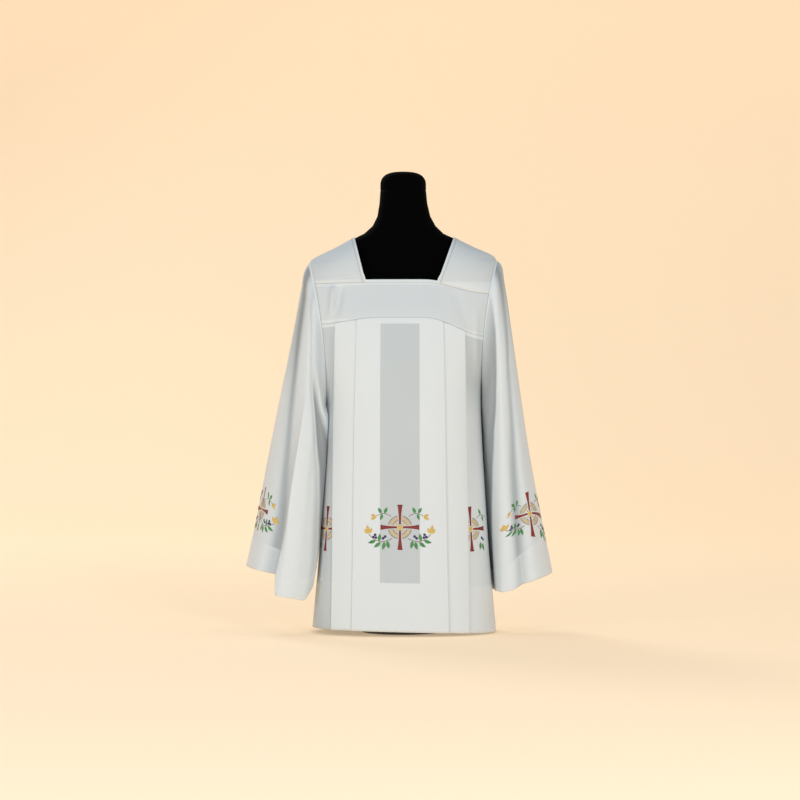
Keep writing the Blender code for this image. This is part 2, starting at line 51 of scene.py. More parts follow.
# The seams above and below the yoke strips: heights, and how far they drop to the left and to the right
SEAM_TOP = {"front": 0.8055, "back": 0.8300}
SEAM_TOP_DROP = {"front": (0.002, 0.025), "back": (0.010, 0.014)}
SEAM_LOW = {"front": 0.7250, "back": 0.7480}
SEAM_LOW_DROP = {"front": (0.015, 0.043), "back": (0.014, 0.022)}
DROP_SPAN = (0.050, 0.195)  # distances from X = 0 between which they drop
HEM = 0.0105
HEM_SLOPE = 0.024
HEM_SIDES = 0.0020  # how far the hem drops at the sides
HEM_SPAN = (0.090, 0.205)
HEM_BAND = 0.1215  # height of the turned-up hem's upper edge
# The shoulder line: its height at SHOULDER_AT, its fall outwards, and its rise to the right
SHOULDER_NECK = 0.9135
SHOULDER_AT = 0.115
SHOULDER_FALL = 0.540
SHOULDER_TILT = 0.025
SADDLE = 2.5  # exponent of the curve over a shoulder
# X of the neck's edge on the shoulder line and on the yoke's top seam
NECK_TOP = {-1: 0.1100, 1: 0.1200}
NECK_LOW = {-1: 0.0830, 1: 0.0805}
NECK_STRIP = 0.0065
# The armhole: X and Z of its top, X of its foot, its half depth and its bow towards the body
ARMHOLE_TOP = {-1: (0.2125, 0.8560), 1: (0.2168, 0.8620)}
ARMHOLE_LOW = {-1: 0.1735, 1: 0.1835}
ARMHOLE_DEPTH = 0.070
ARMHOLE_BOW = 0.011
ARMHOLE_MOST = 0.97  # most of the body's depth that it takes up
# From the armhole out to the sleeve, at its top and at its foot
SEAM_SET = 0.0003
SEAM_CREASE = 0.0006
BODY_MIDDLE = 0.005
ROUNDING = 2.6  # exponent of the body's section
# Pleats: their middle, then at the top and at the hem their inner edge, two folds and pitch between layers
PLEAT_MIDDLE = -0.0046
PLEAT_INNER = (0.0440, 0.0450)
PLEAT_FOLDS = ((0.0980, 0.1085), (0.1480, 0.1555))
PLEAT_PITCH = (0.0016, 0.0024)
LAYERS = 4  # how many pitches the top layer lies above the plain cloth


class Table:
    """Sizes in rows under named columns. Values between rows lie on a smooth cubic through them."""

    def __init__(self, names, *rows):
        columns = np.array(rows, float).T
        self.key = columns[0]
        self.columns = dict(zip(names.split()[1:], columns[1:]))

    def at(self, name, key):
        """Cubic Hermite of the column at key, with each row's slope taken from its neighbours."""
        values = self.columns[name]
        slopes = np.gradient(values, self.key)
        key = np.clip(key, self.key[0], self.key[-1])
        i = np.clip(np.searchsorted(self.key, key) - 1, 0, len(self.key) - 2)
        span = self.key[i + 1] - self.key[i]
        t = (key - self.key[i]) / span
        return (
            values[i] * (1 + 2 * t) * (1 - t) ** 2
            + slopes[i] * span * t * (1 - t) ** 2
            + values[i + 1] * t**2 * (3 - 2 * t)
            + slopes[i + 1] * span * t**2 * (t - 1)
        )


BODY = Table(
    "height half_width front back",
    (0.000, 0.2130, 0.1380, 0.1300),
    (0.130, 0.2010, 0.1350, 0.1260),
    (0.270, 0.1900, 0.1310, 0.1220),
    (0.420, 0.1810, 0.1270, 0.1170),
    (0.560, 0.1785, 0.1220, 0.1120),
    (0.680, 0.1860, 0.1130, 0.1060),
    (0.760, 0.1980, 0.1000, 0.1000),
    (0.830, 0.2100, 0.0850, 0.0880),
)


def armhole_row(side):
    """A sleeve's first section, just outside the armhole."""
    top_x, top_z = ARMHOLE_TOP[side]
    return top_x + SEAM_SET, top_z, ARMHOLE_LOW[side] + SEAM_CREASE, UNDERARM[side], ARMHOLE_DEPTH, 0, 0


SLEEVES = {
    -1: Table(
        "run outer_x outer_z inner_x inner_z half_depth lean lap",
        (0.00, *armhole_row(-1)),
        (0.04, 0.2240, 0.8380, 0.1759, 0.506, 0.0760, 0.000, 0.0084),
        (0.12, 0.2330, 0.7930, 0.1788, 0.456, 0.0810, 0.006, 0.0088),
        (0.30, 0.2530, 0.6840, 0.1848, 0.386, 0.0860, 0.012, 0.0105),
        (0.50, 0.2800, 0.5460, 0.1915, 0.312, 0.0910, 0.016, 0.0115),
        (0.70, 0.3080, 0.3900, 0.1970, 0.238, 0.0960, 0.018, 0.0100),
        (0.86, 0.3320, 0.2580, 0.2040, 0.178, 0.1010, 0.018, 0.0115),
        (1.00, 0.3570, 0.1500, 0.2130, 0.116, 0.1060, 0.014, 0.0120),
    ),
    1: Table(
        "run outer_x outer_z inner_x inner_z half_depth lean lap",
        (0.00, *armhole_row(1)),
        (0.04, 0.2290, 0.8500, 0.1850, 0.538, 0.0760, 0.000, 0.0080),
        (0.12, 0.2370, 0.8040, 0.1865, 0.488, 0.0810, -0.006, 0.0067),
        (0.30, 0.2500, 0.7000, 0.1891, 0.412, 0.0850, -0.014, 0.0052),
        (0.50, 0.2680, 0.5700, 0.1941, 0.332, 0.0890, -0.016, 0.0060),
        (0.70, 0.2900, 0.4260, 0.1987, 0.252, 0.0940, -0.014, 0.0084),
        (0.86, 0.3170, 0.2860, 0.2054, 0.174, 0.0990, -0.009, 0.0145),
        (1.00, 0.3480, 0.1400, 0.2138, 0.095, 0.1040, -0.002, 0.0198),
    ),
}
SLEEVE_HEM = 0.915  # run of the turned-up cuff's upper edge
BOW_END = 0.25  # run at which the armhole's bow has gone from a sleeve's section
# Where a sleeve laps against the body, in degrees round it, and a second lap on the right one's front
LAP_AT = {-1: 140, 1: 220}
LAP_BREADTH = 18
FRONT_LAP_AT = 148
FRONT_LAP = {-1: 0.0, 1: 0.0035}
LAP_BELOW = (0.034, 0.001)  # below the underarm: where the laps are whole, and where they begin

# Folds that deepen down each sleeve: where they lie round it in degrees (90 is the front) at its top and at
# its cuff, how deep, how broad, and the run at which they start
FOLDS = {
    -1: (
        (50, 66, -0.021, 14, 0.10),
        (96, 98, 0.006, 14, 0.05),
        (124, 122, 0.006, 20, 0.05),
        (150, 150, 0.006, 20, 0.0),
        (290, 282, -0.014, 17, 0.12),
        (236, 240, -0.009, 14, 0.35),
    ),
    1: (
        (84, 96, -0.017, 15, 0.12),
        (124, 132, 0.006, 14, 0.20),
        (284, 276, -0.015, 17, 0.10),
        (232, 228, -0.008, 14, 0.40),
    ),
}
FOLD_GROWTH = 0.7
# Lighter creases: the same, then the runs at which they are whole and at which they would be gone
CREASES = {
    -1: (
        (78, 86, 0.0045, 7, 0.15, 0.75, 1.4),
        (112, 110, -0.0022, 7, 0.18, 0.45, 0.92),
        (205, 214, -0.0035, 9, 0.03, 0.30, 1.1),
        (262, 262, 0.0050, 9, 0.15, 0.60, 1.5),
        (318, 324, -0.0065, 9, 0.05, 0.45, 1.2),
        (298, 300, 0.0055, 8, 0.08, 0.40, 1.0),
        (338, 344, 0.0060, 8, 0.20, 0.75, 1.6),
    ),
    1: (
        (166, 170, 0.0030, 8, 0.02, 0.12, 0.45),
        (204, 200, -0.0030, 8, 0.05, 0.35, 1.1),
        (256, 252, 0.0045, 9, 0.20, 0.65, 1.5),
        (316, 312, -0.0060, 9, 0.06, 0.50, 1.3),
        (300, 294, 0.0060, 8, 0.15, 0.70, 1.5),
        (336, 332, 0.0065, 8, 0.05, 0.35, 0.9),
        (344, 340, -0.0045, 7, 0.45, 0.85, 1.5),
    ),
}
# Grooves and ridges down each sleeve's front: where they lie at GROOVE_RUNS, their breadth, how far they
# stand out, and how much whiter they look, which is painted highlight when above 0 and painted shade when
# below
GROOVE_RUNS = (0.0, 0.10, 0.20, 0.30, 0.45, 0.60, 0.80, 1.00)
GROOVES = {
    -1: (
        ((25, 28, 31, 34, 41, 48, 54, 57), 9, -0.0032, -1.35),
        ((70, 65, 62, 62, 70, 76, 80, 84), 13, 0.0015, 0.30),
        ((52, 58, 76, 98, 118, 126, 130, 132), 6, -0.0022, -0.60),
        ((4, 4, 6, 6, 10, 16, 24, 28), 14, 0.0016, 0.25),
        ((80, 92, 106, 122, 150, 160, 165, 170), 22, 0.0, -0.65),
    ),
    1: (
        ((30, 38, 53, 70, 79, 88, 96, 104), 11, -0.0030, -1.25),
        ((46, 66, 88, 104, 118, 126, 128, 130), 10, 0.0026, 0.30),
        ((8, 8, 10, 14, 20, 26, 30, 34), 16, 0.0016, 0.20),
    ),
}
GROOVES_START = (0.0, 0.08)  # runs over which they start
# The front's inner edge in degrees at GROOVE_RUNS, and the runs over which it starts. From there to the inner
# line the cloth turns in, and EDGE_SHADE paints shade on it
EDGES = {
    -1: ((58, 66, 82, 104, 123, 130, 135, 137), (0.17, 0.27)),
    1: ((58, 74, 106, 125, 138, 146, 156, 166), (-0.06, 0.12)),
}
EDGE_SOFT = (-2, 6)  # degrees past the edge over which the shade starts
INNER_LINE = (186, 198)  # degrees over which it ends
# painted shade between the front's inner edge and the inner line
EDGE_SHADE = -1.7
# A groove along the edge: how deep, its degrees past the edge and breadth, and the runs over which it starts
EDGE_DEPTH = -0.0035
EDGE_GROOVE = (14, 12)
EDGE_START = (0.02, 0.16)
# Painted shade beside the outer line: its degrees and breadth, the runs over which it ends, and its tone
OUTLINE = (16, 19)
OUTLINE_END = (0.24, 0.55)
OUTLINE_SHADE = -1.15
# A pucker beside the left armhole: its run and breadth, its degrees and breadth, its height, and the tone of
# its painted highlight
PUCKER = (0.150, 0.022, 114, 26)
PUCKER_HEIGHT = 0.0045
PUCKER_TONE = 0.35
# The cuff's front flap: where round the sleeve it begins, is whole, begins to end and ends, and its drop
CUFF_FLAP = {-1: (77, 85, 121, 147, 0.044), 1: (100, 120, 128, 150, 0.004)}
FLAP_RUN = 0.55
# The flap's edge is folded out over the cloth beside it: its degrees and breadth, how far at the cuff over
# OVER_RUNS, and how much further above the cuff over MORE_RUNS
FLAP_OVER = {-1: (86, 10, 0.0100, 0.0090), 1: (118, 9, 0.0040, 0.0)}
OVER_RUNS = (0.35, 0.95)
MORE_RUNS = (0.15, 0.45, 0.65, 0.95)

# Creases on the body: a line from X, Z to X, Z, its breadth and how far it stands out or lies in
BODY_CREASES = {
    "front": (
        (-0.1580, 0.800, -0.1650, 0.728, 0.0065, 0.0078),
        (-0.1370, 0.797, -0.1500, 0.728, 0.0075, -0.0068),
        (-0.1660, 0.700, -0.1640, 0.520, 0.0080, -0.0030),
        (-0.0800, 0.786, -0.0950, 0.742, 0.0140, -0.0010),
        (0.1250, 0.780, 0.1500, 0.700, 0.0110, -0.0018),
        (0.1700, 0.740, 0.1720, 0.600, 0.0070, 0.0026),
        (0.1620, 0.640, 0.1660, 0.300, 0.0120, -0.0024),
        (0.1860, 0.420, 0.1900, 0.100, 0.0120, 0.0022),
        (-0.1720, 0.420, -0.1800, 0.060, 0.0130, 0.0026),
        (0.0300, 0.520, 0.0340, 0.150, 0.0300, -0.0012),
        (-0.0400, 0.600, -0.0420, 0.120, 0.0260, 0.0012),
    ),
    "back": (
        (-0.1400, 0.810, -0.1600, 0.700, 0.0120, -0.0030),
        (0.1350, 0.815, 0.1600, 0.690, 0.0110, -0.0034),
        (0.1700, 0.620, 0.1760, 0.100, 0.0130, 0.0026),
        (-0.1660, 0.600, -0.1760, 0.080, 0.0130, 0.0030),
        (0.0200, 0.560, 0.0100, 0.120, 0.0300, -0.0014),
        (-0.0560, 0.640, -0.0600, 0.200, 0.0260, 0.0012),
    ),
}
CREASE_SPAN = (-0.3, 0.3, 0.6, 1.2)  # where along its line a crease begins, is whole, begins to end and ends
CREASES_END = 0.012  # how far below the top seam the body's creases begin to fade

# Dress form
FORM_CLEAR = 0.0004  # below the shoulder pieces' solids
SOLID_WALL = 0.001
FORM_TIP = {-1: 0.1980, 1: 0.2040}  # how far its shoulders reach
FORM_NECK = 0.0028  # X of the neck's middle, reached over NECK_SHIFT's heights
NECK_SHIFT = (0.90, 1.0)
FORM_STEP = 0.006
FORM_COLUMNS = 144
# Its level sections: height, half width to the left and right, half depth in front and behind, and the
# exponent that rounds them, which is an oval's from the shoulders up
FORM = (
    (0.160, 0.1280, 0.1280, 0.0740, 0.0760, 2.3),
    (0.172, 0.1430, 0.1430, 0.0850, 0.0880, 2.3),
    (0.190, 0.1500, 0.1500, 0.0900, 0.0930, 2.3),
    (0.270, 0.1600, 0.1600, 0.0970, 0.0980, 2.3),
    (0.370, 0.1480, 0.1480, 0.0940, 0.0920, 2.3),
    (0.470, 0.1270, 0.1270, 0.0870, 0.0820, 2.3),
    (0.570, 0.1380, 0.1380, 0.0960, 0.0850, 2.3),
    (0.660, 0.1560, 0.1560, 0.0980, 0.0890, 2.3),
    (0.740, 0.1700, 0.1700, 0.0850, 0.0860, 2.2),
    (0.800, 0.1850, 0.1880, 0.0730, 0.0780, 2.1),
    (0.840, 0.1960, 0.2030, 0.0660, 0.0700, 2.0),
)
OVAL = 2.0
FORM_SHOULDERS = ((0.858, 0.0630, 0.0660), (0.880, 0.0600, 0.0620), (0.900, 0.0580, 0.0590))
FORM_NECKS = (
    (0.922, 0.0880, 0.0960, 0.0580, 0.0600),
    (0.940, 0.0690, 0.0770, 0.0560, 0.0580),
    (0.962, 0.0590, 0.0640, 0.0545, 0.0560),
    (0.992, 0.0550, 0.0560, 0.0535, 0.0540),
    (1.0215, 0.0530, 0.0530, 0.0530, 0.0530),
)
CAP_RADIUS = 0.0530
CAP_TOP = 1.0650
CAP_SIDE = 0.30
CAP_SQUARE = 0.62
CAP_CROWN = 0.90

# Camera: far off and level with the garment's middle
CAMERA_AT = (-0.0046, -6.05, 0.5364)
VIEW_WIDTH = 1.84
VIEW_DISTANCE = 6.0
SENSOR = 36.0


def smooth(values, low, high):
    """0 below low, 1 above high, and a soft step between them."""
    t = np.clip((values - low) / (high - low), 0, 1)
    return t * t * (3 - 2 * t)


def swell(values, begins, whole, falls, ends):
    """0 below begins, 1 from whole to falls, and 0 again above ends."""
    return smooth(values, begins, whole) * (1 - smooth(values, falls, ends))


def between(first, last, share):
    """The value that share of the way from first to last."""
    return first + (last - first) * share


def bell(values, breadth):
    """1 at 0, falling away evenly to both sides."""
    return np.exp(-((values / breadth) ** 2))


def round_bell(degrees, breadth):
    """The same round a circle."""
    return bell((degrees + 180) % 360 - 180, breadth)


def level(heights, drops, x):
    """Height at x of a line that runs level across the middle and drops by its own amount to each side."""
    left, right = drops
    drop = np.where(x < 0, left, right)
    return heights - drop * smooth(np.abs(x), *DROP_SPAN)


def shoulder(x):
    """Height of the shoulder line at x."""
    return SHOULDER_NECK - SHOULDER_FALL * (np.abs(x) - SHOULDER_AT) + SHOULDER_TILT * x


def hem(x):
    """Height of the hem at x."""
    return HEM - HEM_SLOPE * x - HEM_SIDES * smooth(np.abs(x), *HEM_SPAN)


def seam_top(face, x):
    """Height at x of the seam above a yoke strip."""
    return level(SEAM_TOP[face], SEAM_TOP_DROP[face], x)


def seam_low(face, x):
    """Height at x of the seam below it."""
    return level(SEAM_LOW[face], SEAM_LOW_DROP[face], x)


def armhole(side, z):
    """The armhole's X and half depth at a height: half an oval in each face, bowed in towards the body."""
    top_x, top_z = ARMHOLE_TOP[side]
    share = np.clip((z - UNDERARM[side]) / (top_z - UNDERARM[side]), 0, 1)
    sine = np.sqrt(np.clip(1 - (2 * share - 1) ** 2, 0, 1))
    x = between(ARMHOLE_LOW[side], top_x, share) - ARMHOLE_BOW * sine**2
    return x, ARMHOLE_DEPTH * sine


def body_half_width(face, side, z):
    """Half width of the whole section at z: the table's below the armhole, what its edge needs above."""
    depth = BODY.at(face, z)
    x, y = armhole(side, z)
    fullness = (1 - (np.clip(y / depth, 0, ARMHOLE_MOST)) ** ROUNDING) ** (1 / ROUNDING)
    above = (x - side * BODY_MIDDLE) / fullness
    return np.where(z > UNDERARM[side], above, BODY.at("half_width", z))


def edge_angle(face, side, z):
    """Where a panel ends round its section: at the side seam, or sooner along the armhole."""
    _, y = armhole(side, z)
    share = np.where(z > UNDERARM[side], y / BODY.at(face, z), 0)
    return np.arccos(np.clip(share, 0, 1) ** (ROUNDING / 2))


def angle_at(face, side, z, x):
    """Where x lies round the section of that height, for an x measured from the body's middle."""
    share = np.clip(np.abs(x) / body_half_width(face, side, z), 0, 1)
    return np.arcsin(share ** (ROUNDING / 2))


def body_points(face, side, z, angle, out):
    """Points on the body's section: |x/w|^n + |y/d|^n = 1, moved out along its normal by out."""
    power = 2 / ROUNDING
    width = body_half_width(face, side, z) + 0 * angle
    depth = BODY.at(face, z) + 0 * angle
    sine = np.clip(np.sin(angle), 1e-6, 1)
    cosine = np.clip(np.cos(angle), 1e-6, 1)
    x, y = width * sine**power, depth * cosine**power
    normal_x = (x / width) ** (ROUNDING - 1) / width
    normal_y = (y / depth) ** (ROUNDING - 1) / depth
    length = np.hypot(normal_x, normal_y)
    return np.stack(
        [
            BODY_MIDDLE + side * (x + out * normal_x / length),
            FORWARD[face] * (y + out * normal_y / length),
            z + 0 * angle,
        ],
        axis=-1,
    )


class Signal:
    """A shader socket whose arithmetic adds Math nodes."""

    def __init__(self, shader, socket):
        self.shader = shader
        self.socket = socket

    def math(self, operation, *others):
        inputs = dict(enumerate((self, *others)))
        return self.shader.add("ShaderNodeMath", dict(operation=operation), inputs)

    def __add__(self, other):
        return self.math("ADD", other)

    __radd__ = __add__

    def __sub__(self, other):
        return self.math("SUBTRACT", other)

    def __rsub__(self, other):
        return self * -1 + other

    def __mul__(self, other):
        return self.math("MULTIPLY", other)

    __rmul__ = __mul__

    def __truediv__(self, other):
        return self.math("DIVIDE", other)

    def wave(self, length):
        """A sine that repeats every length."""
        return (self * (2 * math.pi / length)).math("SINE")


class Shader:
    """One procedural material on a Principled shader, with its place on Object coordinates."""

    def __init__(self, name, **constants):
        self.material = bpy.data.materials.new(name)
        self.material.use_nodes = True
        self.tree = self.material.node_tree
        self.surface = self.tree.nodes["Principled BSDF"]
        for socket, value in constants.items():
            self.surface.inputs[socket.replace("_", " ")].default_value = value
        self.place = self.add("ShaderNodeTexCoord", {}, {}, output=3)

    def add(self, kind, settings=None, inputs=None, output=0):
        """A node of that type, its settings first, then its sockets' values or links."""
        node = self.tree.nodes.new(kind)
        for name, value in (settings or {}).items():
            setattr(node, name, value)
        for name, value in (inputs or {}).items():
            if isinstance(value, Signal):
                self.tree.links.new(value.socket, node.inputs[name])
            else:
                node.inputs[name].default_value = value
        return Signal(self, node.outputs[output])

    def mix(self, factor, first, second):
        """Colours mixed by a factor."""
        colours = [(*c, 1) if isinstance(c, tuple) else c for c in (first, second)]
        inputs = {0: factor, 6: colours[0], 7: colours[1]}
        return self.add("ShaderNodeMix", dict(data_type="RGBA"), inputs, output=2)

    def noise(self, scale, detail):
        """Noise of that scale and detail at the place on the piece."""
        return self.add("ShaderNodeTexNoise", {}, {"Vector": self.place, "Scale": scale, "Detail": detail})

    def ramp(self, value, low, high):
        """0 below low, 1 above high, straight between them."""
        return ((value - low) / (high - low)).math("MAXIMUM", 0.0).math("MINIMUM", 1.0)

    def attribute(self, name):
        """A point's number of that name."""
        return self.add("ShaderNodeAttribute", dict(attribute_name=name), output=2)

    def uv(self, name):
        """Both coordinates of a UV map."""
        vector = self.add("ShaderNodeUVMap", dict(uv_map=name))
        node = self.add("ShaderNodeSeparateXYZ", {}, {0: vector}).socket.node
        return [Signal(self, socket) for socket in node.outputs[:2]]

    def bump(self, height, distance, strength, **normal):
        """A normal tilted by height, on top of another Normal where one is given."""
        inputs = dict(Height=height, Distance=distance, Strength=strength, **normal)
        return self.add("ShaderNodeBump", {}, inputs)

    def feed(self, **sockets):
        """The material, with values linked to its surface's sockets."""
        for name, value in sockets.items():
            self.tree.links.new(value.socket, self.surface.inputs[name.replace("_", " ")])
        return self.material


NARROWEST = 0.0105  # least length taken for a sheet of cloth
THREAD = 0.00062  # from one thread of the plain weave to the next
STITCH = 0.0028  # from one machine stitch to the next
STITCH_EDGE = (0.00022, 0.00045)  # how far from its line a stitch fades
STITCH_ENDS = (0.07, 0.13)  # and how far from its end, in stitches
CLOTH_SINGLE = (0.600, 0.640, 0.658)  # one layer, with the dark form behind it
CLOTH_DOUBLE = (0.800, 0.835, 0.850)
# painted shade: the colour that negative tone darkens the cloth towards
CLOTH_SHADED = (0.340, 0.365, 0.378)
CLOTH_GAPS_AND_CREASE_SHADE = (0.42, 0.44, 0.44)  # between threads, and painted shade in the crease of a stitched line
CLOTH_SEWN = (0.86, 0.87, 0.86)  # sewing thread


def cloth_finish():
    """Fine plain weave in a matt white, greyer where one layer lies alone and whiter where it lies double,
    with painted shade and painted highlight carried by its tone.
    """
    shader = Shader("white_batiste", Roughness=0.82, Sheen_Weight=0.12, Sheen_Roughness=0.5)
    across, along = shader.uv("cloth")
    pace, off = shader.uv("stitch")
    weave = across.wave(THREAD) * along.wave(THREAD) * 0.5 + 0.5
    slub = shader.noise(900.0, 1.0)
    cloudy = shader.noise(7.0, 3.0)
    line = 1 - shader.ramp(off, *STITCH_EDGE)
    stitch = line * shader.ramp((pace / STITCH).math("PINGPONG", 0.5), *STITCH_ENDS)
    tone = shader.attribute("tone") + (cloudy - 0.5) * 0.12 + (slub - 0.5) * 0.08
    clear = shader.mix(shader.ramp(tone, 0.0, 1.0), CLOTH_SINGLE, CLOTH_DOUBLE)
    # painted shade where the tone falls below 0
    colour = shader.mix(shader.ramp(tone, 0.0, -1.0), clear, CLOTH_SHADED)
    # darker gaps between threads, and painted shade along each stitched line's crease
    threads = shader.mix((1 - weave) * 0.10 + line * 0.12, colour, CLOTH_GAPS_AND_CREASE_SHADE)
    sewn = shader.mix(stitch * 0.7, threads, CLOTH_SEWN)
    fine = shader.bump(weave + slub * 0.6 + stitch * 3.0 - line * 4.0, 0.00005, 0.6)
    creased = shader.bump(shader.noise(45.0, 3.0), 0.0009, 0.35, Normal=fine)
    return shader.feed(Base_Color=sewn, Normal=creased, Roughness=weave * 0.06 + 0.78)


# Embroidery threads, each with its colour and a darker copy of it as painted shade
THREADS = dict(
    crimson=((0.330, 0.024, 0.020), (0.190, 0.010, 0.010)),
    beige=((0.770, 0.620, 0.385), (0.560, 0.430, 0.250)),
    olive=((0.225, 0.200, 0.105), (0.130, 0.115, 0.055)),
    green=((0.090, 0.350, 0.095), (0.040, 0.200, 0.045)),
    violet=((0.055, 0.022, 0.165), (0.025, 0.010, 0.085)),
    yellow=((0.860, 0.590, 0.140), (0.640, 0.400, 0.070)),
)
SATIN = 0.00042  # from one embroidery thread to the next


def thread_finish(name):
    """Satin stitch: glossy threads side by side, slanting away from the middle of each band."""
    light, shade = THREADS[name]
    shader = Shader(f"{name}_thread", Roughness=0.42, Sheen_Weight=0.2, Sheen_Roughness=0.3)
    along, across = shader.uv("thread")
    slant = along - across.math("ABSOLUTE") * 0.6 + shader.noise(700.0, 2.0) * 0.0002
    strand = slant.wave(SATIN) * 0.5 + 0.5
    # the darker copy is painted shade between the strands, with random variation
    colour = shader.mix(strand * 0.55 + shader.noise(120.0, 2.0) * 0.45, shade, light)
    relief = shader.bump(strand, 0.00012, 0.7)
    return shader.feed(Base_Color=colour, Normal=relief, Roughness=0.55 - strand * 0.18)


# Colours between which the velvet, the coated steel and the paper vary
PILE = ((0.0004, 0.0004, 0.0006), (0.0016, 0.0015, 0.0019))
COAT = ((0.030, 0.030, 0.033), (0.060, 0.060, 0.062))
PAPER = ((0.925, 0.722, 0.498), (0.945, 0.742, 0.518))


def velvet_finish():
    """Deep black pile that brightens a little where it turns away."""
    sheen = dict(Sheen_Weight=0.01, Sheen_Roughness=0.4)
    shader = Shader("black_velvet", Roughness=0.9, Specular_IOR_Level=0.03, **sheen)
    pile = shader.noise(1600.0, 1.0)
    brushed = shader.noise(14.0, 3.0)
    colour = shader.mix(pile * 0.4 + brushed * 0.4, *PILE)
    relief = shader.bump(pile, 0.0002, 0.5)
    return shader.feed(Base_Color=colour, Normal=relief, Roughness=brushed * 0.1 + 0.85)


def steel_finish():
    """Dark powder coat with a fine orange peel."""
    shader = Shader("coated_steel", Roughness=0.45)
    peel = shader.bump(shader.noise(500.0, 2.0), 0.0001, 0.5)
    dust = shader.noise(30.0, 4.0)
    return shader.feed(Base_Color=shader.mix(dust, *COAT), Normal=peel, Roughness=dust * 0.2 + 0.35)


def backdrop_finish():
    """Plain pale paper that glows a little, so that it stays even."""
    shader = Shader("pale_paper", Roughness=0.95, Emission_Strength=0.39)
    colour = shader.mix(shader.noise(40.0, 3.0), *PAPER)
    return shader.feed(Base_Color=colour, Emission_Color=colour)


def put_in_scene(name, data):
    """An object that holds a mesh, a light or a camera, at the origin."""
    thing = bpy.data.objects.new(name, data)
    bpy.context.scene.collection.objects.link(thing)
    return thing


def grid_faces(rows, columns, closed):
    """Quads of a grid, its last column joined to its first where closed."""
    across = columns if closed else columns - 1
    row, column = np.meshgrid(np.arange(rows - 1), np.arange(across), indexing="ij")
    after = (column + 1) % columns
    here, below = row * columns, (row + 1) * columns
    return np.stack([here + column, here + after, below + after, below + column], axis=-1).reshape(-1, 4)


def grid_mesh(name, points, material, closed=False, maps=None, tone=None):
    """Mesh of quads over a grid of points.

    maps holds UV maps in metres, with one more column than the points where closed. tone is one number a
    point.
    """
    rows, columns, _ = points.shape
    mesh = bpy.data.meshes.new(name)
    mesh.from_pydata(points.reshape(-1, 3), [], grid_faces(rows, columns, closed))
    for label, uv in (maps or {}).items():
        corners = [uv[:-1, :-1], uv[:-1, 1:], uv[1:, 1:], uv[1:, :-1]]
        layer = mesh.uv_layers.new(name=label)
        layer.data.foreach_set("uv", np.stack(corners, axis=-2).reshape(-1).astype(np.float32))
    if tone is not None:
        layer = mesh.attributes.new("tone", "FLOAT", "POINT")
        layer.data.foreach_set("value", np.broadcast_to(tone, (rows, columns)).reshape(-1).astype(np.float32))
    mesh.shade_smooth()
    mesh.materials.append(material)
    return put_in_scene(name, mesh)


def grid_area(grid):
    """Area of a grid: half the cross product of each quad's diagonals."""
    one = grid[1:, 1:] - grid[:-1, :-1]
    other = grid[1:, :-1] - grid[:-1, 1:]
    return float(np.linalg.norm(np.cross(one, other), axis=-1).sum() / 2)


def longest(grid):
    """Lengths of a grid's longest row and longest column."""
    rows, columns = (np.linalg.norm(np.diff(grid, axis=i), axis=-1).sum(axis=i) for i in (1, 0))
    return float(rows.max()), float(columns.max())


def run_along(path):
    """Length of a path from its start to each of its points."""
    return np.concatenate([[0], np.cumsum(np.linalg.norm(np.diff(path, axis=0), axis=-1))])


def cloth_piece(name, node, points, tone, closed=False, double=None, lines=(), sides=(), wall=WALL, **sheet):
    """A thin wall of cloth over a grid of points, thicker on the rows that lie double.

    lines are rows, and sides columns, along which it is stitched. Its UV map holds lengths along its middle
    row and down its middle column.
    """
    rows, columns, _ = points.shape
    grid = np.concatenate([points, points[:, :1]], axis=1) if closed else points
    across, down = run_along(grid[rows // 2]), run_along(points[:, columns // 2])
    uv = np.stack(np.meshgrid(down, across, indexing="ij")[::-1], axis=-1)
    pace, off = uv[..., 0], np.full(uv.shape[:2], 1.0)
    for line in lines:
        off = np.minimum(off, np.abs(uv[..., 1] - uv[line, :, 1]))
    for side in sides:
        near = np.abs(uv[..., 0] - uv[:, side, 0][:, None])
        pace = np.where(near < off, uv[..., 1], pace)
        off = np.minimum(off, near)
    maps = dict(cloth=uv, stitch=np.stack([pace, off], axis=-1))
    piece = grid_mesh(name, points, CLOTH, closed, maps, tone)
    shell = piece.modifiers.new("wall", "SOLIDIFY")
    shell.thickness = wall
    shell.offset = 0
    if double is not None:
        shell.thickness = HEM_WALL
        group = piece.vertex_groups.new(name="turned_up")
        group.add(np.flatnonzero(np.repeat(double, columns)).tolist(), 1, "REPLACE")
        shell.vertex_group = group.name
        shell.thickness_vertex_group = WALL / HEM_WALL
    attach(piece, "root")
    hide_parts(node)
    width, length = longest(grid)
    length = max(length, NARROWEST)
    min(grid_area(grid), width * length)


def spread(nodes, steps):
    """Runs of evenly spaced values between neighbouring nodes."""
    runs = [np.linspace(a, b, n, endpoint=False) for a, b, n in zip(nodes[:-1], nodes[1:], steps)]
    return np.concatenate([*runs, nodes[-1:]])


TURN_POINTS = 9
TURN_CLEAR = 2.4  # radii from a turn to the first point past it
TONE_STEP = 0.0006  # half the distance over which the tone changes at a fold
PAST_FOLD = 0.002  # how far the lowest layer is drawn past the outer fold


